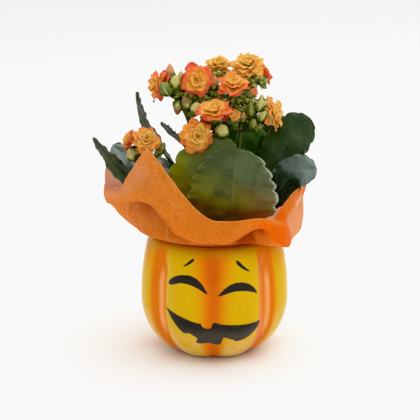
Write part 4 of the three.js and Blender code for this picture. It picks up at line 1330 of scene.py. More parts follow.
    def inside(self, out: Vector, azimuth: float, share: float) -> Vector:
        """A point of the part round the nursery pot, from the middle of the bottom to the lip."""
        stops = (0.0, self.bottom_radius, self.neck_radius, self.lip_radius)
        heights = (self.bottom, self.bottom, self.neck_height, self.lip_height)
        at = min(share * 3, 2.9999)
        number = int(at)
        part = at - number
        radius = mix(stops[number], stops[number + 1], part)
        pleats = 0.22 * ease(0.34, 0.7, share) * math.sin(azimuth * 41 + math.sin(azimuth * 5))
        height = mix(heights[number], heights[number + 1], part)
        return out * (radius + pleats) + Vector((0, 0, height))

    def wrinkle(self, point: Vector, out: Vector, azimuth: float, at: float) -> Vector:
        """How far a point of the flare is moved by the sheet's pleats and soft folds.

        Args:
            point: The point.
            out: The direction out of the rim.
            azimuth: The azimuth, in radians.
            at: The place between the knots, from 0 at the lip to 6 at the border.
        """
        pleat = math.sin(azimuth * 31 + 2.3 * math.sin(azimuth * 3 + 1))
        pleat *= 0.45 * ease(0.2, 1.4, at) * ease(3.6, 1.8, at)
        x, y, z = point
        slant = noise.noise(Vector((x + z, y, (z - x) * 2.6)) * 0.034)
        small = noise.noise(point * 0.13)
        swell = ease(0.8, 2.5, at)
        lift = pleat + (slant * 1.3 + small * 0.35) * swell
        return out * lift + Vector((0, 0, lift * 0.3))


# Sprays


@dataclass(frozen=True)
class Growth:
    """Something that grows on a spray: its middle and the way it faces."""

    at: Triple
    faces: Triple

    @property
    def axis(self) -> Vector:
        """The direction that it faces."""
        return Vector(self.faces).normalized()


@dataclass(frozen=True)
class Bloom(Growth):
    """One bloom: its head's radius, how far it is open, its blush, and whether it is full."""

    radius: float
    open: float
    leaves_stalk: float
    blush: float
    many: bool = False

    @property
    def foot(self) -> Vector:
        """Where the bloom meets its calyx."""
        return Vector(self.at) - self.axis * self.radius * 0.55


@dataclass(frozen=True)
class Bud(Growth):
    """One closed bud: its sizes and how ripe its skin is."""

    radius: float
    length: float
    leaves_stalk: float
    ripe: float

    @property
    def foot(self) -> Vector:
        """The bud's lower end."""
        return Vector(self.at) - self.axis * self.length / 2


@dataclass(frozen=True)
class PetalLayer:
    """One layer of petals: how many, how they rise when open and shut, and their sizes."""

    petals: int
    rise_open: float
    rise_shut: float
    length: float
    width: float
    height: float
    blush: float


@dataclass
class BloomBuilder:
    """Builds double blooms out of layers of pointed, curled petals."""

    layers: tuple[PetalLayer, ...] = (
        PetalLayer(6, 4, 40, 1.0, 0.4, 0.16, 1.15),
        PetalLayer(6, 20, 52, 0.92, 0.37, 0.2, 0.9),
        PetalLayer(5, 36, 62, 0.8, 0.35, 0.25, 0.45),
        PetalLayer(4, 53, 72, 0.66, 0.32, 0.3, 0.12),
        PetalLayer(3, 68, 80, 0.5, 0.26, 0.34, 0.0),
    )
    thickness: float = 0.3
    across: int = 8
    along: int = 12
    steps: int = 24
    foot_width: float = 0.26
    widest_at: float = 0.56
    tip_share: float = 0.44
    seed: int = 11
    finish: PetalFinish = field(default_factory=PetalFinish)

    def __post_init__(self) -> None:
        """Starts the random stream and the shared material."""
        self.rng = random.Random(self.seed)
        self.material = self.finish.material()

    def width_share(self, share: float, blunt: float) -> float:
        """A petal's half-width along its length, as a share of its widest."""
        if share < self.widest_at:
            rise = math.sin(share / self.widest_at * math.pi / 2)
            return mix(self.foot_width, 1.0, rise**1.15)
        beyond = (share - self.widest_at) / self.tip_share
        return max(0.0, 1 - beyond ** mix(1.5, 2.4, blunt)) ** mix(0.95, 0.6, blunt)

    def build(self, name: str, bloom: Bloom) -> bpy.types.Object:
        """Builds one bloom.

        Args:
            name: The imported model's node that the bloom stands for.
            bloom: Where the bloom is and how it looks.

        Returns:
            The bloom's piece.
        """
        bm = bmesh.new()
        float_layers(bm, "along", "across", "blush")
        for number, layer in enumerate(self.layers):
            if bloom.radius < 5 and number > 3:
                break
            turn = number * 0.5 + self.rng.random() * 0.2
            petals = layer.petals + (2 if bloom.many else 0)
            for k in range(petals):
                angle = (k + turn + self.rng.uniform(-0.22, 0.22)) / petals * FULL_TURN
                self.add_petal(bm, bloom, layer, angle)
        bmesh.ops.solidify(bm, geom=bm.faces[:], thickness=self.thickness)
        self.add_receptacle(bm, bloom)
        return piece_of(bm, f"{name}_petals", self.material, "petal", name)

    def add_petal(self, bm: Mesh, bloom: Bloom, layer: PetalLayer, angle: float) -> None:
        """Adds one petal.

        Args:
            bm: The bloom's mesh.
            bloom: The bloom.
            layer: The petal's layer.
            angle: The petal's angle round the bloom's axis, in radians.
        """
        rng = self.rng
        axis = bloom.axis
        outward = Matrix.Rotation(angle, 3, axis) @ side_of(axis)
        across = axis.cross(outward)
        opened = mix(layer.rise_shut, layer.rise_open, bloom.open)
        rise = math.radians(opened + rng.uniform(-13, 11))
        bend = math.radians(mix(-42, 26, bloom.open) * mix(1, 0.1, limit(layer.rise_open / 75)))
        bend += math.radians(rng.uniform(-12, 14))
        length = bloom.radius * layer.length * rng.uniform(0.8, 1.08)
        width = bloom.radius * layer.width * rng.uniform(0.88, 1.1) * (0.84 if bloom.many else 1)
        cup = rng.uniform(-0.15, 0.4)
        curl = math.radians(rng.uniform(0, 40)) * limit(bloom.open)
        sweep = rng.uniform(-0.14, 0.14) * length
        twist = rng.uniform(-0.3, 0.3)
        blunt = rng.random()
        ripple = rng.uniform(0, FULL_TURN)
        root = bloom.foot + axis * bloom.radius * layer.height + outward * bloom.radius * 0.05
        ridge = [root.copy()]
        for step in range(self.steps):
            part = (step + 0.5) / self.steps
            turned = rise - bend * part**1.5 - curl * part**5
            stride = outward * math.cos(turned) + axis * math.sin(turned)
            ridge.append(ridge[-1] + stride * (length / self.steps))
        tone = rng.uniform(-0.1, 0.1)
        flushing = bloom.blush * layer.blush
        along_layer = bm.verts.layers.float["along"]
        across_layer = bm.verts.layers.float["across"]
        blush_layer = bm.verts.layers.float["blush"]

        def place(vert: Vert, u: float, v: float) -> None:
            """Puts a point on the petal and colours it."""
            w = u * 2 - 1
            uneven = 1 + 0.07 * w * w * math.sin(v * 13 + ripple + math.copysign(2, w))
            half = width * self.width_share(v, blunt) * uneven + 0.04
            spot = ridge[min(self.steps, round(v * self.steps))] + across * (sweep * v * v)
            turned = rise - bend * v**1.5 - curl * v**5
            above = axis * math.cos(turned) - outward * math.sin(turned)
            edge = 0.07 * bloom.radius * math.sin(v * 9 + ripple + w * 2) * w * w * v
            keel = -0.22 * half * math.exp(-((w / 0.4) ** 2)) * (1 - v**3)
            lift = cup * w * w * half + twist * w * half * v + edge + keel
            vert.co = spot + across * (w * half) + above * lift
            vert[along_layer] = v
            vert[across_layer] = w
            flush = tone + 0.2 * bloom.blush + flushing * (0.15 + 0.75 * ease(0.3, 0.95, v))
            flush += 0.45 * flushing * ease(0.4, 1.0, abs(w)) * ease(0.3, 0.75, v)
            vert[blush_layer] = limit(flush)

        mapped_grid(bm, self.across, self.along, place)

    def add_receptacle(self, bm: Mesh, bloom: Bloom) -> None:
        """Adds the small body at the bloom's foot that its petals grow out of."""
        axis = bloom.axis
        direction = compass(axis)
        blush_layer = bm.verts.layers.float["blush"]
        profile = ((0, 0), (0, 0.11), (0.1, 0.16), (0.22, 0.13), (0.42, 0.08), (0.48, 0))

        def place(vert: Vert, angle: float, share: float) -> None:
            """Puts a point on the body."""
            height, size = profile[round(share * (len(profile) - 1))]
            vert.co = bloom.foot + (axis * height + direction(angle) * size) * bloom.radius
            vert[blush_layer] = 0.1

        rolled(bm, 10, len(profile) - 1, place)


@dataclass(frozen=True)
class Tuft(Growth):
    """A tuft of small green buds and pointed bracts round a joint of a spray."""

    leaves_stalk: float
    reach: float
    buds: int = 6
    bracts: int = 4
    ripe: float = 0.1


@dataclass
class Spray:
    """One flower stalk, with its branches, calyces, blooms, closed buds and green tufts."""

    name: str
    foot: Pair
    radius: float
    tip: float
    path: tuple[Triple, ...]
    blooms: tuple[Bloom, ...]
    buds: tuple[Bud, ...] = ()
    tufts: tuple[Tuft, ...] = ()
    soil_top: float = SOIL_TOP
    hole_depth: float = 12.0
    clearance: float = CLEARANCE
    seed: int = 23

    @cached_property
    def stalk(self) -> Path:
        """The stalk's middle line, straight up out of the potting mix."""
        x, y = self.foot
        low, high = self.soil_top - self.hole_depth + self.clearance, self.soil_top + 2
        return Path([(x, y, low), (x, y, high), *self.path])

    def share_at(self, height: float) -> float:
        """The share of the stalk's length at which it reaches a height."""
        low, high = 0.0, 1.0
        while high - low > 1e-4:
            middle = (low + high) / 2
            if self.stalk.at(middle).z < height:
                low = middle
            else:
                high = middle
        return low

    def build(self, material: bpy.types.Material, blooms: BloomBuilder, first: int) -> int:
        """Builds the spray and its blooms.

        Args:
            material: The finish of the stalk, the calyces and the buds.
            blooms: What builds the blooms.
            first: The number of the spray's first bloom.

        Returns:
            The number of the next spray's first bloom.
        """
        bm = bmesh.new()
        bm.verts.layers.float.new("ripe")
        tube(bm, self.stalk, lambda share: mix(self.radius, self.tip, share), 14, 40)
        for bloom in self.blooms:
            end = bloom.foot - bloom.axis * self.clearance
            size = 1.0 if bloom.radius > 6 else 0.8
            self.add_calyx(bm, end, bloom.axis, size)
            self.add_branch(bm, bloom.leaves_stalk, end - bloom.axis * 2.04, bloom.axis)
        for bud in self.buds:
            self.add_bud(bm, bud)
            self.add_branch(bm, bud.leaves_stalk, bud.foot + bud.axis * bud.length * 0.2, bud.axis)
        rng = random.Random(self.seed)
        for tuft in self.tufts:
            self.add_tuft(bm, tuft, rng)
        piece_of(bm, f"{self.name}_stalk", material, "stalk", self.name)
        for number, bloom in enumerate(self.blooms, first):
            blooms.build(f"bloom_{number:02d}", bloom)
        return first + len(self.blooms)

    def add_branch(
        self, bm: Mesh, share: float, foot: Vector, axis: Vector,
        thick: float = 1.0, start: Vector | None = None,
    ) -> None:
        """Adds a branch to a foot, which it reaches along an axis.

        Args:
            bm: The spray's mesh.
            share: The share of the stalk's length at which the branch leaves it.
            foot: Where the branch ends.
            axis: The direction in which it ends.
            thick: Its thickness, as a share of a full branch.
            start: Where it starts, if not on the stalk.
        """
        root = start or self.stalk.at(share)
        span = (foot - root).length
        out = root + self.stalk.tangent(share) * span * 0.35
        near = foot - axis * span * 0.4
        curve = [
            root * (1 - t) ** 3
            + out * 3 * t * (1 - t) ** 2
            + near * 3 * t * t * (1 - t)
            + foot * t**3
            for t in (k / 6 for k in range(7))
        ]
        tube(
            bm,
            Path(curve),
            lambda t: (mix(1.25, 0.9, t) + 0.25 * ease(0.8, 1, t)) * thick,
            9 if thick > 0.8 else 6,
            14 if thick > 0.8 else 6,
        )

    def add_calyx(self, bm: Mesh, end: Vector, axis: Vector, size: float) -> None:
        """Adds a calyx, a cup with four pointed fleshy sepals.

        Args:
            bm: The spray's mesh.
            end: The middle of the cup's mouth.
            axis: The direction that the cup opens.
            size: The calyx's size, as a share of a full one.
        """
        direction = compass(axis)
        ripe_layer = bm.verts.layers.float["ripe"]
        rows = 10

        def place(vert: Vert, angle: float, share: float) -> None:
            """Puts a point on the cup: up its outside and down its inside."""
            row = round(share * rows)
            sepal = abs(math.cos(angle * 2)) ** 1.6
            reach, top = mix(2.2, 4.3, sepal), mix(-0.9, 0.5, sepal)
            outside = row <= 6
            rise = min(1, row / 6) if outside else 1 - (row - 6) / 4
            if row in (0, rows):
                radius, height = 0.0, -3.5 if row == 0 else -1.4
            elif outside:
                radius = mix(1.1, reach, rise**0.7)
                height = mix(-3.5, top, rise**1.3)
            else:
                radius = reach * (0.15 + 0.75 * rise)
                height = mix(-1.6, top - 0.5, rise)
            vert.co = end + (direction(angle) * radius + axis * height) * size
            vert[ripe_layer] = 0.1 * sepal * ease(0.3, 1, rise)

        rolled(bm, 32, rows, place)

    def add_bud(self, bm: Mesh, bud: Bud, around: int = 20, rows: int = 18) -> None:
        """Adds a closed bud of furled petals, held by four pointed sepals.

        Args:
            bm: The spray's mesh.
            bud: The bud.
            around: How many faces it has around.
            rows: How many faces it has from end to end.
        """
        axis = bud.axis
        direction = compass(axis)
        ripe_layer = bm.verts.layers.float["ripe"]
        lobes = 4

        def size_at(share: float) -> float:
            """The bud's radius at a share of its length."""
            if not 0 < share < 1:
                return 0.0
            return bud.radius * math.sin(math.pi * min(1, share * 1.04) ** 0.78) ** 0.62

        def place(vert: Vert, angle: float, share: float) -> None:
            """Puts a point on the bud and ripens it."""
            twist = share * 1.5
            furl = 1 + 0.06 * math.cos(lobes * (angle + twist)) * ease(0.3, 0.7, share)
            out = direction(angle)
            vert.co = bud.foot + axis * bud.length * share + out * size_at(share) * furl
            ripening = ease(0.05, 0.7, share + 0.04 * math.cos(lobes * (angle + twist)))
            stripe = 0.16 * ease(0, 1, math.cos(2 * lobes * angle)) * ease(0.28, 0.2, bud.ripe)
            vert[ripe_layer] = mix(min(0.12, bud.ripe), bud.ripe, ripening) + stripe

        rolled(bm, around, rows, place)
        for lobe in range(lobes):
            out = direction((lobe + 0.5) / lobes * FULL_TURN)
            path = [
                bud.foot + axis * bud.length * share + out * (size_at(share) + 0.12)
                for share in (0.02, 0.1, 0.2, 0.32, 0.44, 0.54)
            ]
            self.add_blade(bm, path, axis.cross(out), bud.radius * 0.62, 0.45, 0.1)

    def add_blade(
        self, bm: Mesh, points: Sequence[Vector], across: Vector,
        half: float, thickness: float, ripe: float,
    ) -> None:
        """Adds a small pointed blade, such as a sepal or a bract.

        Args:
            bm: The spray's mesh.
            points: The points that the blade's middle runs through.
            across: The direction of its width.
            half: Half its greatest width.
            thickness: Its thickness.
            ripe: How light its tip is.
        """
        path = Path(points)
        rows = 9
        ripe_layer = bm.verts.layers.float["ripe"]
        sections = []
        for row in range(rows + 1):
            share = row / rows
            ahead = path.point(share + 0.02) - path.point(share - 0.02)
            full = math.sin(math.pi * share**0.7) ** 0.75 if 0 < row < rows else 0.0
            sections.append((path.point(share), across.cross(ahead).normalized(), full))

        def place(vert: Vert, angle: float, share: float) -> None:
            """Puts a point on the blade's flat section."""
            middle, up, full = sections[round(share * rows)]
            wide = across * math.cos(angle) * half * full
            vert.co = middle + wide + up * math.sin(angle) * thickness / 2 * min(1, full * 2)
            vert[ripe_layer] = mix(0.03, ripe, share)

        rolled(bm, 8, rows, place)

    def add_tuft(self, bm: Mesh, tuft: Tuft, rng: random.Random) -> None:
        """Adds a tuft: a branch to its joint, and buds and bracts round it.

        Args:
            bm: The spray's mesh.
            tuft: The tuft.
            rng: The random stream.
        """
        joint = Vector(tuft.at)
        self.add_branch(bm, tuft.leaves_stalk, joint, tuft.axis, 0.9)
        direction = compass(tuft.axis)
        count = tuft.buds + tuft.bracts
        for number in range(count):
            angle = (number * 0.382 + rng.uniform(-0.05, 0.05)) * FULL_TURN
            lean = math.sqrt((number + 0.5) / count) * 1.45 + rng.uniform(-0.15, 0.15)
            out = direction(angle)
            heading = (tuft.axis * math.cos(lean) + out * math.sin(lean)).normalized()
            if number % 2 == 0 and number // 2 < tuft.buds:
                length = rng.uniform(3.8, 6.0)
                middle = joint + heading * (tuft.reach * rng.uniform(0.55, 0.95))
                ripe = tuft.ripe * rng.uniform(0.4, 1.6)
                bud = Bud(tuple(middle), tuple(heading), length * 0.36, length, 0.5, ripe)
                self.add_bud(bm, bud, 12, 9)
                foot = bud.foot + heading * 0.5
                self.add_branch(bm, tuft.leaves_stalk, foot, heading, 0.5, joint)
            else:
                length = tuft.reach * rng.uniform(0.9, 1.35)
                side = heading.cross(tuft.axis).normalized()
                droop = side.cross(heading) * length * rng.uniform(-0.1, 0.25)
                path = [
                    joint + heading * length * t + droop * t * t for t in (0, 0.25, 0.5, 0.75, 1)
                ]
                self.add_blade(bm, path, side, rng.uniform(1.0, 1.7), 0.8, tuft.ripe * 2)


# Leaves


class LeafTone(Enum):
    """The leaves' finishes: lit and shaded copies of one leaf, with painted light and shade by
    where they grow and how the light falls on them.
    """

    LIT = LeafFinish(
        "leaf_lit", blade=srgb(76, 88, 52), deep=srgb(50, 64, 26), patch=srgb(114, 122, 18),
        rim=srgb(168, 182, 154), blush=srgb(146, 118, 68), blushing=0.55, lean=(0.2, 0.0),
        left_highlight=0.1,
    )
    # Painted light: a lighter copy for a leaf in shade
    BRIGHT = LeafFinish(
        "leaf_bright", blade=srgb(92, 112, 70), deep=srgb(80, 96, 38), patch=srgb(122, 136, 20),
        rim=srgb(150, 166, 134), blushing=0.1, left_highlight=0.1,
    )
    SHADED = LeafFinish(
        "leaf_shaded", blade=srgb(62, 84, 54), deep=srgb(42, 62, 32), patch=srgb(70, 90, 34),
        rim=srgb(92, 106, 68), vein=srgb(96, 110, 74), blushing=0.15,
    )
    # Glossier, and lighter towards the tip: painted light on the head, painted shade at the foot
    WAXY = LeafFinish(
        "leaf_waxy", blade=srgb(80, 104, 92), deep=srgb(40, 58, 42), patch=srgb(50, 70, 46),
        rim=srgb(100, 112, 84), vein=srgb(100, 110, 96), roughness=0.22, bloom=0.8, blushing=0.1,
        lean=(0.0, 1.0), gloss=0.5,
    )
    # Painted shade: a darker copy for leaves that face up into the light
    DARK = LeafFinish(
        "leaf_dark", blade=srgb(72, 82, 62), deep=srgb(54, 64, 46), patch=srgb(70, 80, 54),
        rim=srgb(94, 104, 82), vein=srgb(70, 80, 60), bloom=0.0, blushing=0.1, gloss=0.2,
    )
    # Painted light: a lighter, greener copy for a leaf in shade
    LIT_GREEN = LeafFinish(
        "leaf_lit_green", blade=srgb(84, 116, 46), deep=srgb(58, 88, 30), patch=srgb(100, 136, 34),
        rim=srgb(112, 136, 76), vein=srgb(104, 124, 70), blushing=0.0,
    )


@dataclass(frozen=True)
class Leaf:
    """One leaf: the stalk that carries it, its midrib, how it faces, and its outline."""

    node: str
    stalk: str
    height: float
    spine: tuple[Triple, ...]
    faces: tuple[Triple, Triple]
    width: float
    petiole: float
    peak: float
    blunt: float
    cup: float
    wave: float
    teeth: int
    tone: LeafTone = LeafTone.SHADED
    tooth: float = 1.6


@dataclass
class Foliage:
    """Builds the leaves: fleshy blades with scalloped edges on round petioles."""

    sprays: dict[str, Spray]
    petiole_half_width: float = 1.4
    petiole_thickness: float = 2.4
    blade_thickness: float = 1.6
    clearance: float = CLEARANCE
    around: int = 44
    along: int = 84

    def __post_init__(self) -> None:
        """Makes each finish once."""
        self.materials = {tone: tone.value.material() for tone in LeafTone}

    def start(self, leaf: Leaf) -> Vector:
        """Where a leaf's petiole starts, beside its stalk."""
        spray = self.sprays[leaf.stalk]
        share = spray.share_at(leaf.height)
        start = spray.stalk.at(share)
        towards = Vector(leaf.spine[0])
        outward = Vector((towards.x - start.x, towards.y - start.y, 0)).normalized()
        start += outward * (mix(spray.radius, spray.tip, share) + self.clearance)
        climb = abs((towards - start).normalized().z)
        return start + outward * climb * self.petiole_thickness / 2

    def fullness(self, leaf: Leaf, share: float) -> float:
        """The blade's half-width at a share of its length, as a share of its widest."""
        if share < leaf.peak:
            return 1 - ((leaf.peak - share) / leaf.peak) ** 1.9
        return max(0, 1 - ((share - leaf.peak) / (1 - leaf.peak)) ** 2.3) ** leaf.blunt

    def scallop(self, leaf: Leaf, share: float) -> float:
        """How far the edge stands out in a scallop at a share of the blade's length."""
        steps = leaf.teeth * 3 + 2
        place = (1 - (1 - share) ** (1 / 1.35)) * steps / 3
        part = place - int(place)
        return math.sin(math.pi * part**0.85) ** 0.55 * ease(0.0, 0.1, share) * ease(1, 0.97, share)

    def build(self, leaf: Leaf) -> bpy.types.Object:
        """Builds one leaf."""
        spine = Path([self.start(leaf), *leaf.spine])
        foot_face, tip_face = (Vector(face).normalized() for face in leaf.faces)
        sections = []
        for row in range(self.along + 1):
            place = 1 - (1 - row / self.along) ** 1.25
            share = limit((place - leaf.petiole) / (1 - leaf.petiole))
            tangent = spine.tangent(place)
            across = tangent.cross(foot_face.lerp(tip_face, place)).normalized()
            full = self.fullness(leaf, share) if place > leaf.petiole else 0
            half = leaf.width * full + self.petiole_half_width * (1 - share)
            sections.append((spine.at(place), across, across.cross(tangent), share, full, half))
        bm = bmesh.new()
        along_layer = bm.verts.layers.float.new("along")
        across_layer = bm.verts.layers.float.new("across")

        def place_point(vert: Vert, angle: float, v: float) -> None:
            """Puts a point on the leaf's section."""
            row = round(v * self.along)
            centre, across, up, share, full, half = sections[row]
            w = math.cos(angle)
            wide = w * w
            if row in (0, self.along):
                half, thick = 0.0, 0.0
            else:
                thick = mix(self.petiole_thickness, self.blade_thickness, min(1, share * 5))
                thick *= min(1, (self.along - row) / 4 + 0.25)
            tooth = leaf.tooth * self.scallop(leaf, share) * wide**3 * min(1, full * 2)
            side = w * half + math.copysign(tooth, w) * (1 if row not in (0, self.along) else 0)
            ruffle = leaf.wave * math.sin(share * 6 * math.pi + w) * min(1, share * 3)
            ruffle += 0.35 * tooth * math.sin(share * 60)
            lift = wide * (leaf.cup * leaf.width * full + ruffle)
            lift -= 0.5 * full * math.exp(-((w / 0.07) ** 2))
            swell = math.sin(share * 19 + abs(w) * 5)
            bulge = 0.4 * full * (1 - wide) * swell * min(1, leaf.width / 12)
            body = math.copysign(abs(math.sin(angle)) ** 0.55, math.sin(angle)) * thick / 2
            vert.co = centre + across * side + up * (lift + bulge + body)
            vert[along_layer] = share
            vert[across_layer] = w

        rolled(bm, self.around, self.along, place_point)
        return piece_of(bm, f"{leaf.node}_blade", self.materials[leaf.tone], "leaf", leaf.node)


# The plant's own places


SPRAYS = (
    Spray(
        "spray_front", (1, -9), 2, 1.3,
        ((1, -9, 90), (0, -8, 118), (0, -8, 138)),
        (
            Bloom((-0.8, -23.5, 152.4), (-0.1, -0.42, 0.9), 10.3, 0.84, 1, 0.62),
            Bloom((11.2, -14.5, 145), (0.15, -0.6, 0.7), 6.4, -0.3, 0.93, 0.16),
            Bloom((-10.1, -24, 135.8), (0.08, -0.97, 0.2), 10.1, 1, 0.86, 0.42, True),
            Bloom((-4.6, -3, 141.5), (-0.3, -0.3, 0.9), 6.6, 0.7, 0.96, 0.95),
        ),
        (Bud((4.2, -16, 137.5), (0.15, -0.4, 0.9), 4.0, 8.6, 0.88, 0.3),),
        (
            Tuft((-0.5, -8, 141), (0.1, -0.3, 0.9), 0.95, 4, 4, 3),
            Tuft((4, -13, 134), (-0.3, -0.8, 0.5), 0.88, 3.6, 3, 3),
        ),
    ),
    Spray(
        "spray_left", (-8, 4), 2, 1.6,
        ((-9, 4, 85), (-12, 2, 118), (-15, 0, 140), (-21, -1, 153)),
        (
            Bloom((-34.8, 0, 161.5), (-0.92, -0.3, 0.24), 11, 0.92, 0.99, 0.72, True),
            Bloom((-10.2, -9, 166), (0, -0.92, 0.3), 10.4, 1, 0.93, 0.7),
        ),
        (
            Bud((-25.6, -1, 168.6), (-0.12, 0, 1), 2.6, 11.5, 0.98, 0.86),
            Bud((-22.8, -6, 164), (0.12, -0.3, 1), 3.3, 9.4, 0.97, 0.26),
            Bud((-28.6, -7, 160.3), (-0.45, -0.35, 0.8), 3.9, 9.8, 0.97, 0.06),
            Bud((-19.8, -1, 166), (0.15, 0.1, 1), 2.1, 7.5, 0.95, 0.34),
            Bud((-0.4, -1, 162.5), (0.1, -0.2, 1), 3.0, 9.5, 0.9, 0.74),
            # These two buds sit on the brown stop of painted shade
            Bud((-21.4, -5, 148.6), (-0.1, -0.3, -0.9), 3.1, 9.5, 0.92, 0.5),
            Bud((-16.4, -8, 152.4), (-0.4, -0.3, 0.8), 3.0, 9, 0.9, 0.5),
            Bud((-10.6, -13, 150), (0.1, -0.5, 0.9), 3.3, 8.4, 0.86, 0.3),
        ),
        (
            Tuft((-27.5, -2, 158), (-0.6, -0.3, 0.4), 0.97, 4.4, 4, 3),
            Tuft((-23, 0, 157), (-0.1, -0.6, 0.7), 0.96, 5.4, 7, 4),
            Tuft((-18.5, 0, 155.5), (0.3, -0.6, 0.4), 0.95, 5.4, 7, 4),
            Tuft((-13, 0, 154), (0.3, -0.6, 0.3), 0.92, 5.4, 7, 5),
            Tuft((-7, -1, 154), (0.3, -0.6, 0.4), 0.9, 5.4, 7, 5),
            Tuft((-1, 0, 155.5), (0.3, -0.6, 0.4), 0.9, 4.8, 6, 4),
            Tuft((-15, 0, 149), (0.2, -0.6, 0.3), 0.9, 4.6, 5, 4),
            Tuft((-13.5, -1, 144), (0.3, -0.7, 0.5), 0.86, 3.6, 4, 3),
            Tuft((-8, -5, 149.5), (-0.1, -0.5, 0.5), 0.88, 4.2, 4, 4),
        ),
        seed=29,
    ),
    Spray(
        "spray_low", (-14, -5), 1.9, 1.2,
        ((-16.5, -5, 75), (-26, -4, 98), (-39, -3, 117)),
        (
            Bloom((-39.3, -13, 132), (0.05, -0.8, 0.6), 8.7, 0.95, 0.99, 0.34, True),
            Bloom((-51.4, 4, 127.4), (-0.8, -0.15, 0.5), 7.8, 0.8, 0.94, 0.6),
        ),
        (
            Bud((-31, -5, 125), (0.5, -0.3, 0.8), 2.5, 7.5, 0.92, 0.12),
            Bud((-49, -6, 120.5), (-0.4, -0.3, 0.8), 3, 8.5, 0.96, 0.36),
        ),
        (
            Tuft((-33, -4, 120.5), (0.4, -0.5, 0.7), 0.93, 3.4, 3, 2, 0.1),
            Tuft((-45, -2, 119.5), (-0.4, -0.5, 0.7), 0.96, 3.6, 3, 2),
        ),
        seed=31,
    ),
    Spray(
        "spray_right", (9, 3), 2.2, 1.6,
        ((9.5, 3, 85), (13, 2, 115), (16, 2, 140), (18.5, 4, 157)),
        (
            Bloom((2.4, 17, 170.6), (-0.1, -0.3, 0.94), 9.8, 0.75, 0.96, 0.14, True),
            Bloom((19.4, 8, 173.2), (-0.05, -0.45, 0.88), 10.6, 0.82, 1, 0.22, True),
            Bloom((29.4, 17, 165), (0.75, 0.5, 0.4), 7.9, 0.7, 0.97, 0.66),
            Bloom((11.3, -11, 164.4), (0.03, -0.42, 0.9), 10.4, 0.76, 0.92, 0.58),
            Bloom((36.3, -2, 145.3), (0.93, -0.25, 0.3), 10.4, 0.9, 0.82, 0.3, True),
            Bloom((22.8, -3, 157.2), (0.4, -0.5, 0.75), 4.8, -0.3, 0.94, 0.45),
        ),
        (
            Bud((21.2, -8, 148), (-0.1, -0.2, 1), 2.1, 10, 0.86, 0.08),
            Bud((26.4, -7, 150.5), (0.3, -0.2, 1), 2.3, 9.5, 0.85, 0.22),
            Bud((27.6, -9, 144.5), (0.5, -0.4, 0.7), 2.2, 8.5, 0.8, 0.2),
            Bud((16.6, -7, 143.5), (0.1, -0.4, 1), 2.2, 7, 0.8, 0.7),
            Bud((22.4, -11, 140.5), (0.1, -0.6, 0.7), 2.1, 8.5, 0.76, 0.1),
        ),
        (
            Tuft((2.6, 14, 163.5), (-0.1, -0.6, 0.7), 0.96, 4.4, 4, 4),
            Tuft((15.5, 9, 162), (-0.2, -0.7, 0.5), 0.98, 4.8, 5, 4),
            Tuft((21.5, 8, 162), (0.1, -0.7, 0.5), 0.99, 5.2, 6, 4, 0.1),
            Tuft((27, 10, 160.5), (0.5, -0.6, 0.4), 0.97, 4.8, 5, 4, 0.12),
            Tuft((7, 2, 152), (-0.4, -0.6, 0.3), 0.92, 4.8, 6, 4),
            Tuft((3, 0, 156), (-0.3, -0.6, 0.4), 0.94, 4.2, 4, 4),
            Tuft((14, -4, 146), (-0.1, -0.6, 0.6), 0.88, 4.2, 4, 4),
            Tuft((15, 0, 151), (-0.2, -0.7, 0.4), 0.92, 5.4, 7, 5),
            Tuft((21, 0, 150), (0.2, -0.7, 0.6), 0.9, 5.2, 7, 5, 0.12),
            Tuft((27.5, -3, 149), (0.4, -0.5, 0.8), 0.86, 4.8, 6, 4, 0.22),
            Tuft((30.5, -3, 143), (0.6, -0.6, 0.5), 0.84, 4.6, 6, 4, 0.2),
            Tuft((21, -2, 142), (0.1, -0.7, 0.5), 0.8, 5, 5, 5),
            Tuft((14, -1, 138), (-0.4, -0.7, 0.4), 0.78, 4.8, 3, 6, 0.1),
            Tuft((24.5, -1, 137.5), (0.4, -0.7, 0.3), 0.76, 4.6, 3, 5),
        ),
        seed=37,
    ),
    Spray(
        "spray_back", (3, 13), 1.9, 1.4,
        ((3, 15, 90), (2, 18, 120), (3, 21, 140)),
        (
            Bloom((-5, 26, 159), (-0.2, 0.7, 0.7), 8.9, 1, 0.99, 0.5, True),
            Bloom((17, 31, 154), (0.4, 0.8, 0.5), 8.9, 1, 0.95, 0.4),
            Bloom((5, 36, 141), (0, 0.95, 0.3), 8.8, 1, 0.86, 0.6),
        ),
        (),
        (
            Tuft((-2, 24, 150), (-0.2, 0.5, 0.8), 0.97, 4.6, 5, 4),
            Tuft((10, 27, 147), (0.3, 0.6, 0.7), 0.95, 4.8, 5, 4, 0.12),
            Tuft((4, 28, 139), (0, 0.9, 0.4), 0.9, 4.6, 4, 4),
        ),
        seed=41,
    ),
)

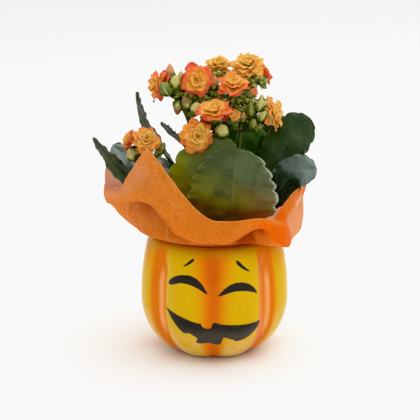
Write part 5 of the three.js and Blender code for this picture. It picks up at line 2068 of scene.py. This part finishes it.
LEAVES = (
    Leaf(
        "leaf_front", "spray_front", 72,
        ((8, -19, 78), (9.8, -28, 93), (11, -32.5, 111), (13, -30, 130)),
        ((0, -1, 0.3), (0.1, -1, 0.1)), 23, 0.16, 0.32, 0.5, -0.1, 1, 6, LeafTone.LIT, 3.2,
    ),
    Leaf(
        "leaf_front_left", "spray_front", 82,
        ((-8, -17, 92), (-7, -21.5, 106), (0, -21, 120), (9.5, -17.5, 132.5)),
        ((-0.2, -1, 0.2), (-0.1, -1, 0.3)), 18.6, 0.2, 0.38, 0.7, -0.06, 0.8, 5, LeafTone.BRIGHT,
        2.4,
    ),
    Leaf(
        "leaf_right", "spray_right", 88,
        ((24, 3, 99.5), (36, 5.5, 114), (46, 7, 128.5), (57, 7.5, 139.5)),
        ((-0.4, -0.8, 0.5), (-0.2, -0.95, 0.3)), 12, 0.22, 0.6, 0.5, 0.08, 0.8, 5,
    ),
    Leaf(
        "leaf_right_back", "spray_back", 100,
        ((12, 20, 106), (23, 23, 116), (34, 25, 127), (43, 25, 136.5)),
        ((-0.4, -0.8, 0.6), (-0.3, -0.8, 0.5)), 10.5, 0.2, 0.55, 0.6, 0.08, 0.7, 4,
    ),
    Leaf(
        "leaf_right_low", "spray_right", 74,
        ((24, -1, 80), (36, -2, 94), (47, -3, 108.5), (60.5, -4.6, 111.5)),
        ((-0.5, -0.6, 0.6), (0.3, -0.8, 0.6)), 9.2, 0.25, 0.74, 0.5, 0.1, 0.5, 4, LeafTone.WAXY,
        1.2,
    ),
    Leaf(
        "leaf_centre", "spray_right", 96,
        ((13, 12, 104), (16, 14, 116), (18.5, 14, 126), (19.5, 13, 137)),
        ((0.1, -0.95, 0.3), (0, -0.95, 0.3)), 12, 0.2, 0.5, 0.6, 0.05, 0.7, 4, LeafTone.LIT_GREEN,
    ),
    Leaf(
        "leaf_left", "spray_low", 72,
        ((-27, -6, 87), (-50.4, -5.5, 104.6), (-61.8, -3, 116.2), (-71.7, 0, 129.5)),
        ((0.2, -0.3, 1), (0.6, -0.3, 0.75)), 6.8, 0.2, 0.45, 0.9, 0.1, 0.6, 5, LeafTone.DARK,
    ),
    Leaf(
        "leaf_left_back", "spray_left", 90,
        ((-26, 11, 98), (-39, 14, 105), (-51, 16, 112), (-62, 19, 120)),
        ((0, -0.3, 1), (0.3, -0.6, 0.8)), 10.5, 0.2, 0.55, 0.6, 0.12, 0.7, 4, LeafTone.WAXY,
    ),
    Leaf(
        "leaf_left_high", "spray_left", 103,
        ((-23, 9, 109), (-32.5, 10, 122), (-43, 8, 138.5), (-45.8, 5, 156)),
        ((0.7, 0.1, 0.7), (0.95, -0.2, 0.25)), 7.6, 0.2, 0.5, 0.8, 0.12, 0.5, 4, LeafTone.DARK,
    ),
    Leaf(
        "leaf_left_small", "spray_left", 119,
        ((-16.5, 1, 123), (-21, 1, 128), (-26.5, 2, 132.5), (-31.8, 2, 138.2)),
        ((0.5, 0.1, 0.8), (0.6, -0.1, 0.75)), 5.4, 0.15, 0.5, 0.8, 0.1, 0.3, 3, LeafTone.DARK,
    ),
    Leaf(
        "leaf_back_right", "spray_back", 84,
        ((14, 22, 90), (25, 29, 101), (32, 36, 112), (36, 43, 120)),
        ((-0.4, -0.5, 0.8), (-0.5, -0.7, 0.5)), 14.5, 0.2, 0.5, 0.6, 0.1, 0.9, 4,
    ),
    Leaf(
        "leaf_back", "spray_back", 78,
        ((0, 25, 85), (-3, 34, 95), (-4, 41, 105), (-4, 48, 110)),
        ((0, -0.6, 0.8), (0, -0.6, 0.8)), 14, 0.2, 0.5, 0.6, 0.1, 0.9, 4,
    ),
    Leaf(
        "leaf_back_left", "spray_left", 80,
        ((-21, 16, 88), (-32, 24, 97), (-39, 30, 106), (-45, 35, 112)),
        ((0.3, -0.4, 0.9), (0.5, -0.5, 0.7)), 12.5, 0.2, 0.5, 0.6, 0.1, 0.9, 4,
    ),
    Leaf(
        "leaf_back_high", "spray_back", 106,
        ((6, 27, 112), (8, 33, 119), (9, 38, 127), (9, 41, 133)),
        ((0, -0.8, 0.6), (0, -0.95, 0.3)), 9.5, 0.2, 0.5, 0.6, 0.1, 0.6, 3,
    ),
)


# The studio


@dataclass
class Studio:
    """A plain pale floor under a wide soft lamp, in a room that is darker behind the camera."""

    dark: float = 0.8
    bright: float = 0.88
    floor_size: float = 14.0
    lamp_place: Triple = (0.35, 0.15, 1.25)
    lamp_aim: Triple = (0, 0, 0.05)
    lamp_size: float = 2.0
    lamp_power: float = 13.5
    tones: tuple[Pair, ...] = (
        (0.0, 0.0), (0.016, 0.003), (0.035, 0.017), (0.07, 0.057), (0.2, 0.196),
        (0.45, 0.465), (0.65, 0.69), (0.85, 0.872), (1.0, 0.945),
    )

    def build(self) -> None:
        """Makes the floor, the room's light and the lamp, and sets the picture's tones."""
        bm = bmesh.new()
        bmesh.ops.create_grid(bm, x_segments=1, y_segments=1, size=self.floor_size / 2)
        mesh = bpy.data.meshes.new("floor")
        bm.to_mesh(mesh)
        bm.free()
        mesh.materials.append(FloorFinish().material())
        floor = bpy.data.objects.new("floor", mesh)
        bpy.context.scene.collection.objects.link(floor)
        self.light_room()
        self.hang_lamp()
        self.set_tones()

    def hang_lamp(self) -> None:
        """Hangs one soft lamp over the object."""
        data = bpy.data.lights.new("softbox", "AREA")
        data.shape = "RECTANGLE"
        data.size = data.size_y = self.lamp_size
        data.energy = self.lamp_power
        lamp = bpy.data.objects.new("softbox", data)
        lamp.location = self.lamp_place
        towards = Vector(self.lamp_aim) - Vector(self.lamp_place)
        lamp.rotation_euler = towards.to_track_quat("-Z", "Y").to_euler()
        bpy.context.scene.collection.objects.link(lamp)

    def light_room(self) -> None:
        """Lights the room from above and behind the object, and less from the camera's side."""
        world = bpy.data.worlds.new("room")
        world.use_nodes = True
        nodes, links = world.node_tree.nodes, world.node_tree.links
        direction = nodes.new("ShaderNodeTexCoord").outputs["Generated"]
        weigh = nodes.new("ShaderNodeVectorMath")
        weigh.operation = "DOT_PRODUCT"
        weigh.inputs[1].default_value = (0.25, 1.0, 1.0)
        links.new(direction, weigh.inputs[0])
        level = nodes.new("ShaderNodeMapRange")
        level.interpolation_type = "SMOOTHSTEP"
        for value, socket in zip((-0.8, 0.2, self.dark, self.bright), level.inputs[1:5]):
            socket.default_value = value
        links.new(weigh.outputs["Value"], level.inputs[0])
        links.new(level.outputs[0], nodes["Background"].inputs["Strength"])
        nodes["Background"].inputs["Color"].default_value = (1, 1, 1, 1)
        bpy.context.scene.world = world

    def set_tones(self) -> None:
        """Sets the picture's tone curve, which holds the bright floor just under white."""
        view = bpy.context.scene.view_settings
        view.view_transform = "Standard"
        view.use_curve_mapping = True
        mapping = view.curve_mapping
        mapping.extend = "HORIZONTAL"
        curve = mapping.curves[3]
        while len(curve.points) < len(self.tones):
            curve.points.new(0.5, 0.5)
        for point, place in zip(curve.points, self.tones):
            point.location = place
            point.handle_type = "AUTO_CLAMPED"
        mapping.update()


def corners(box: tuple[Vector, Vector]) -> list[list[float]]:
    """A box as plain lists of numbers."""
    return [[float(part) for part in corner] for corner in box]


def main() -> None:
    """Builds the pot, the wrap and the plant, and sets up the studio."""
    camera = PhotoCamera()
    camera.build()
    Studio().build()
    CoverPot(camera=camera).build()
    nursery = NurseryPot()
    nursery.build()
    PottingMix(nursery).build()
    WrapSheet().build()
    foliage = Foliage({spray.name: spray for spray in SPRAYS})
    for leaf in LEAVES:
        foliage.build(leaf)
    stalk_material = StalkFinish().material()
    blooms = BloomBuilder()
    number = 1
    for spray in SPRAYS:
        number = spray.build(stalk_material, blooms, number)


if __name__ == "__main__":
    main()
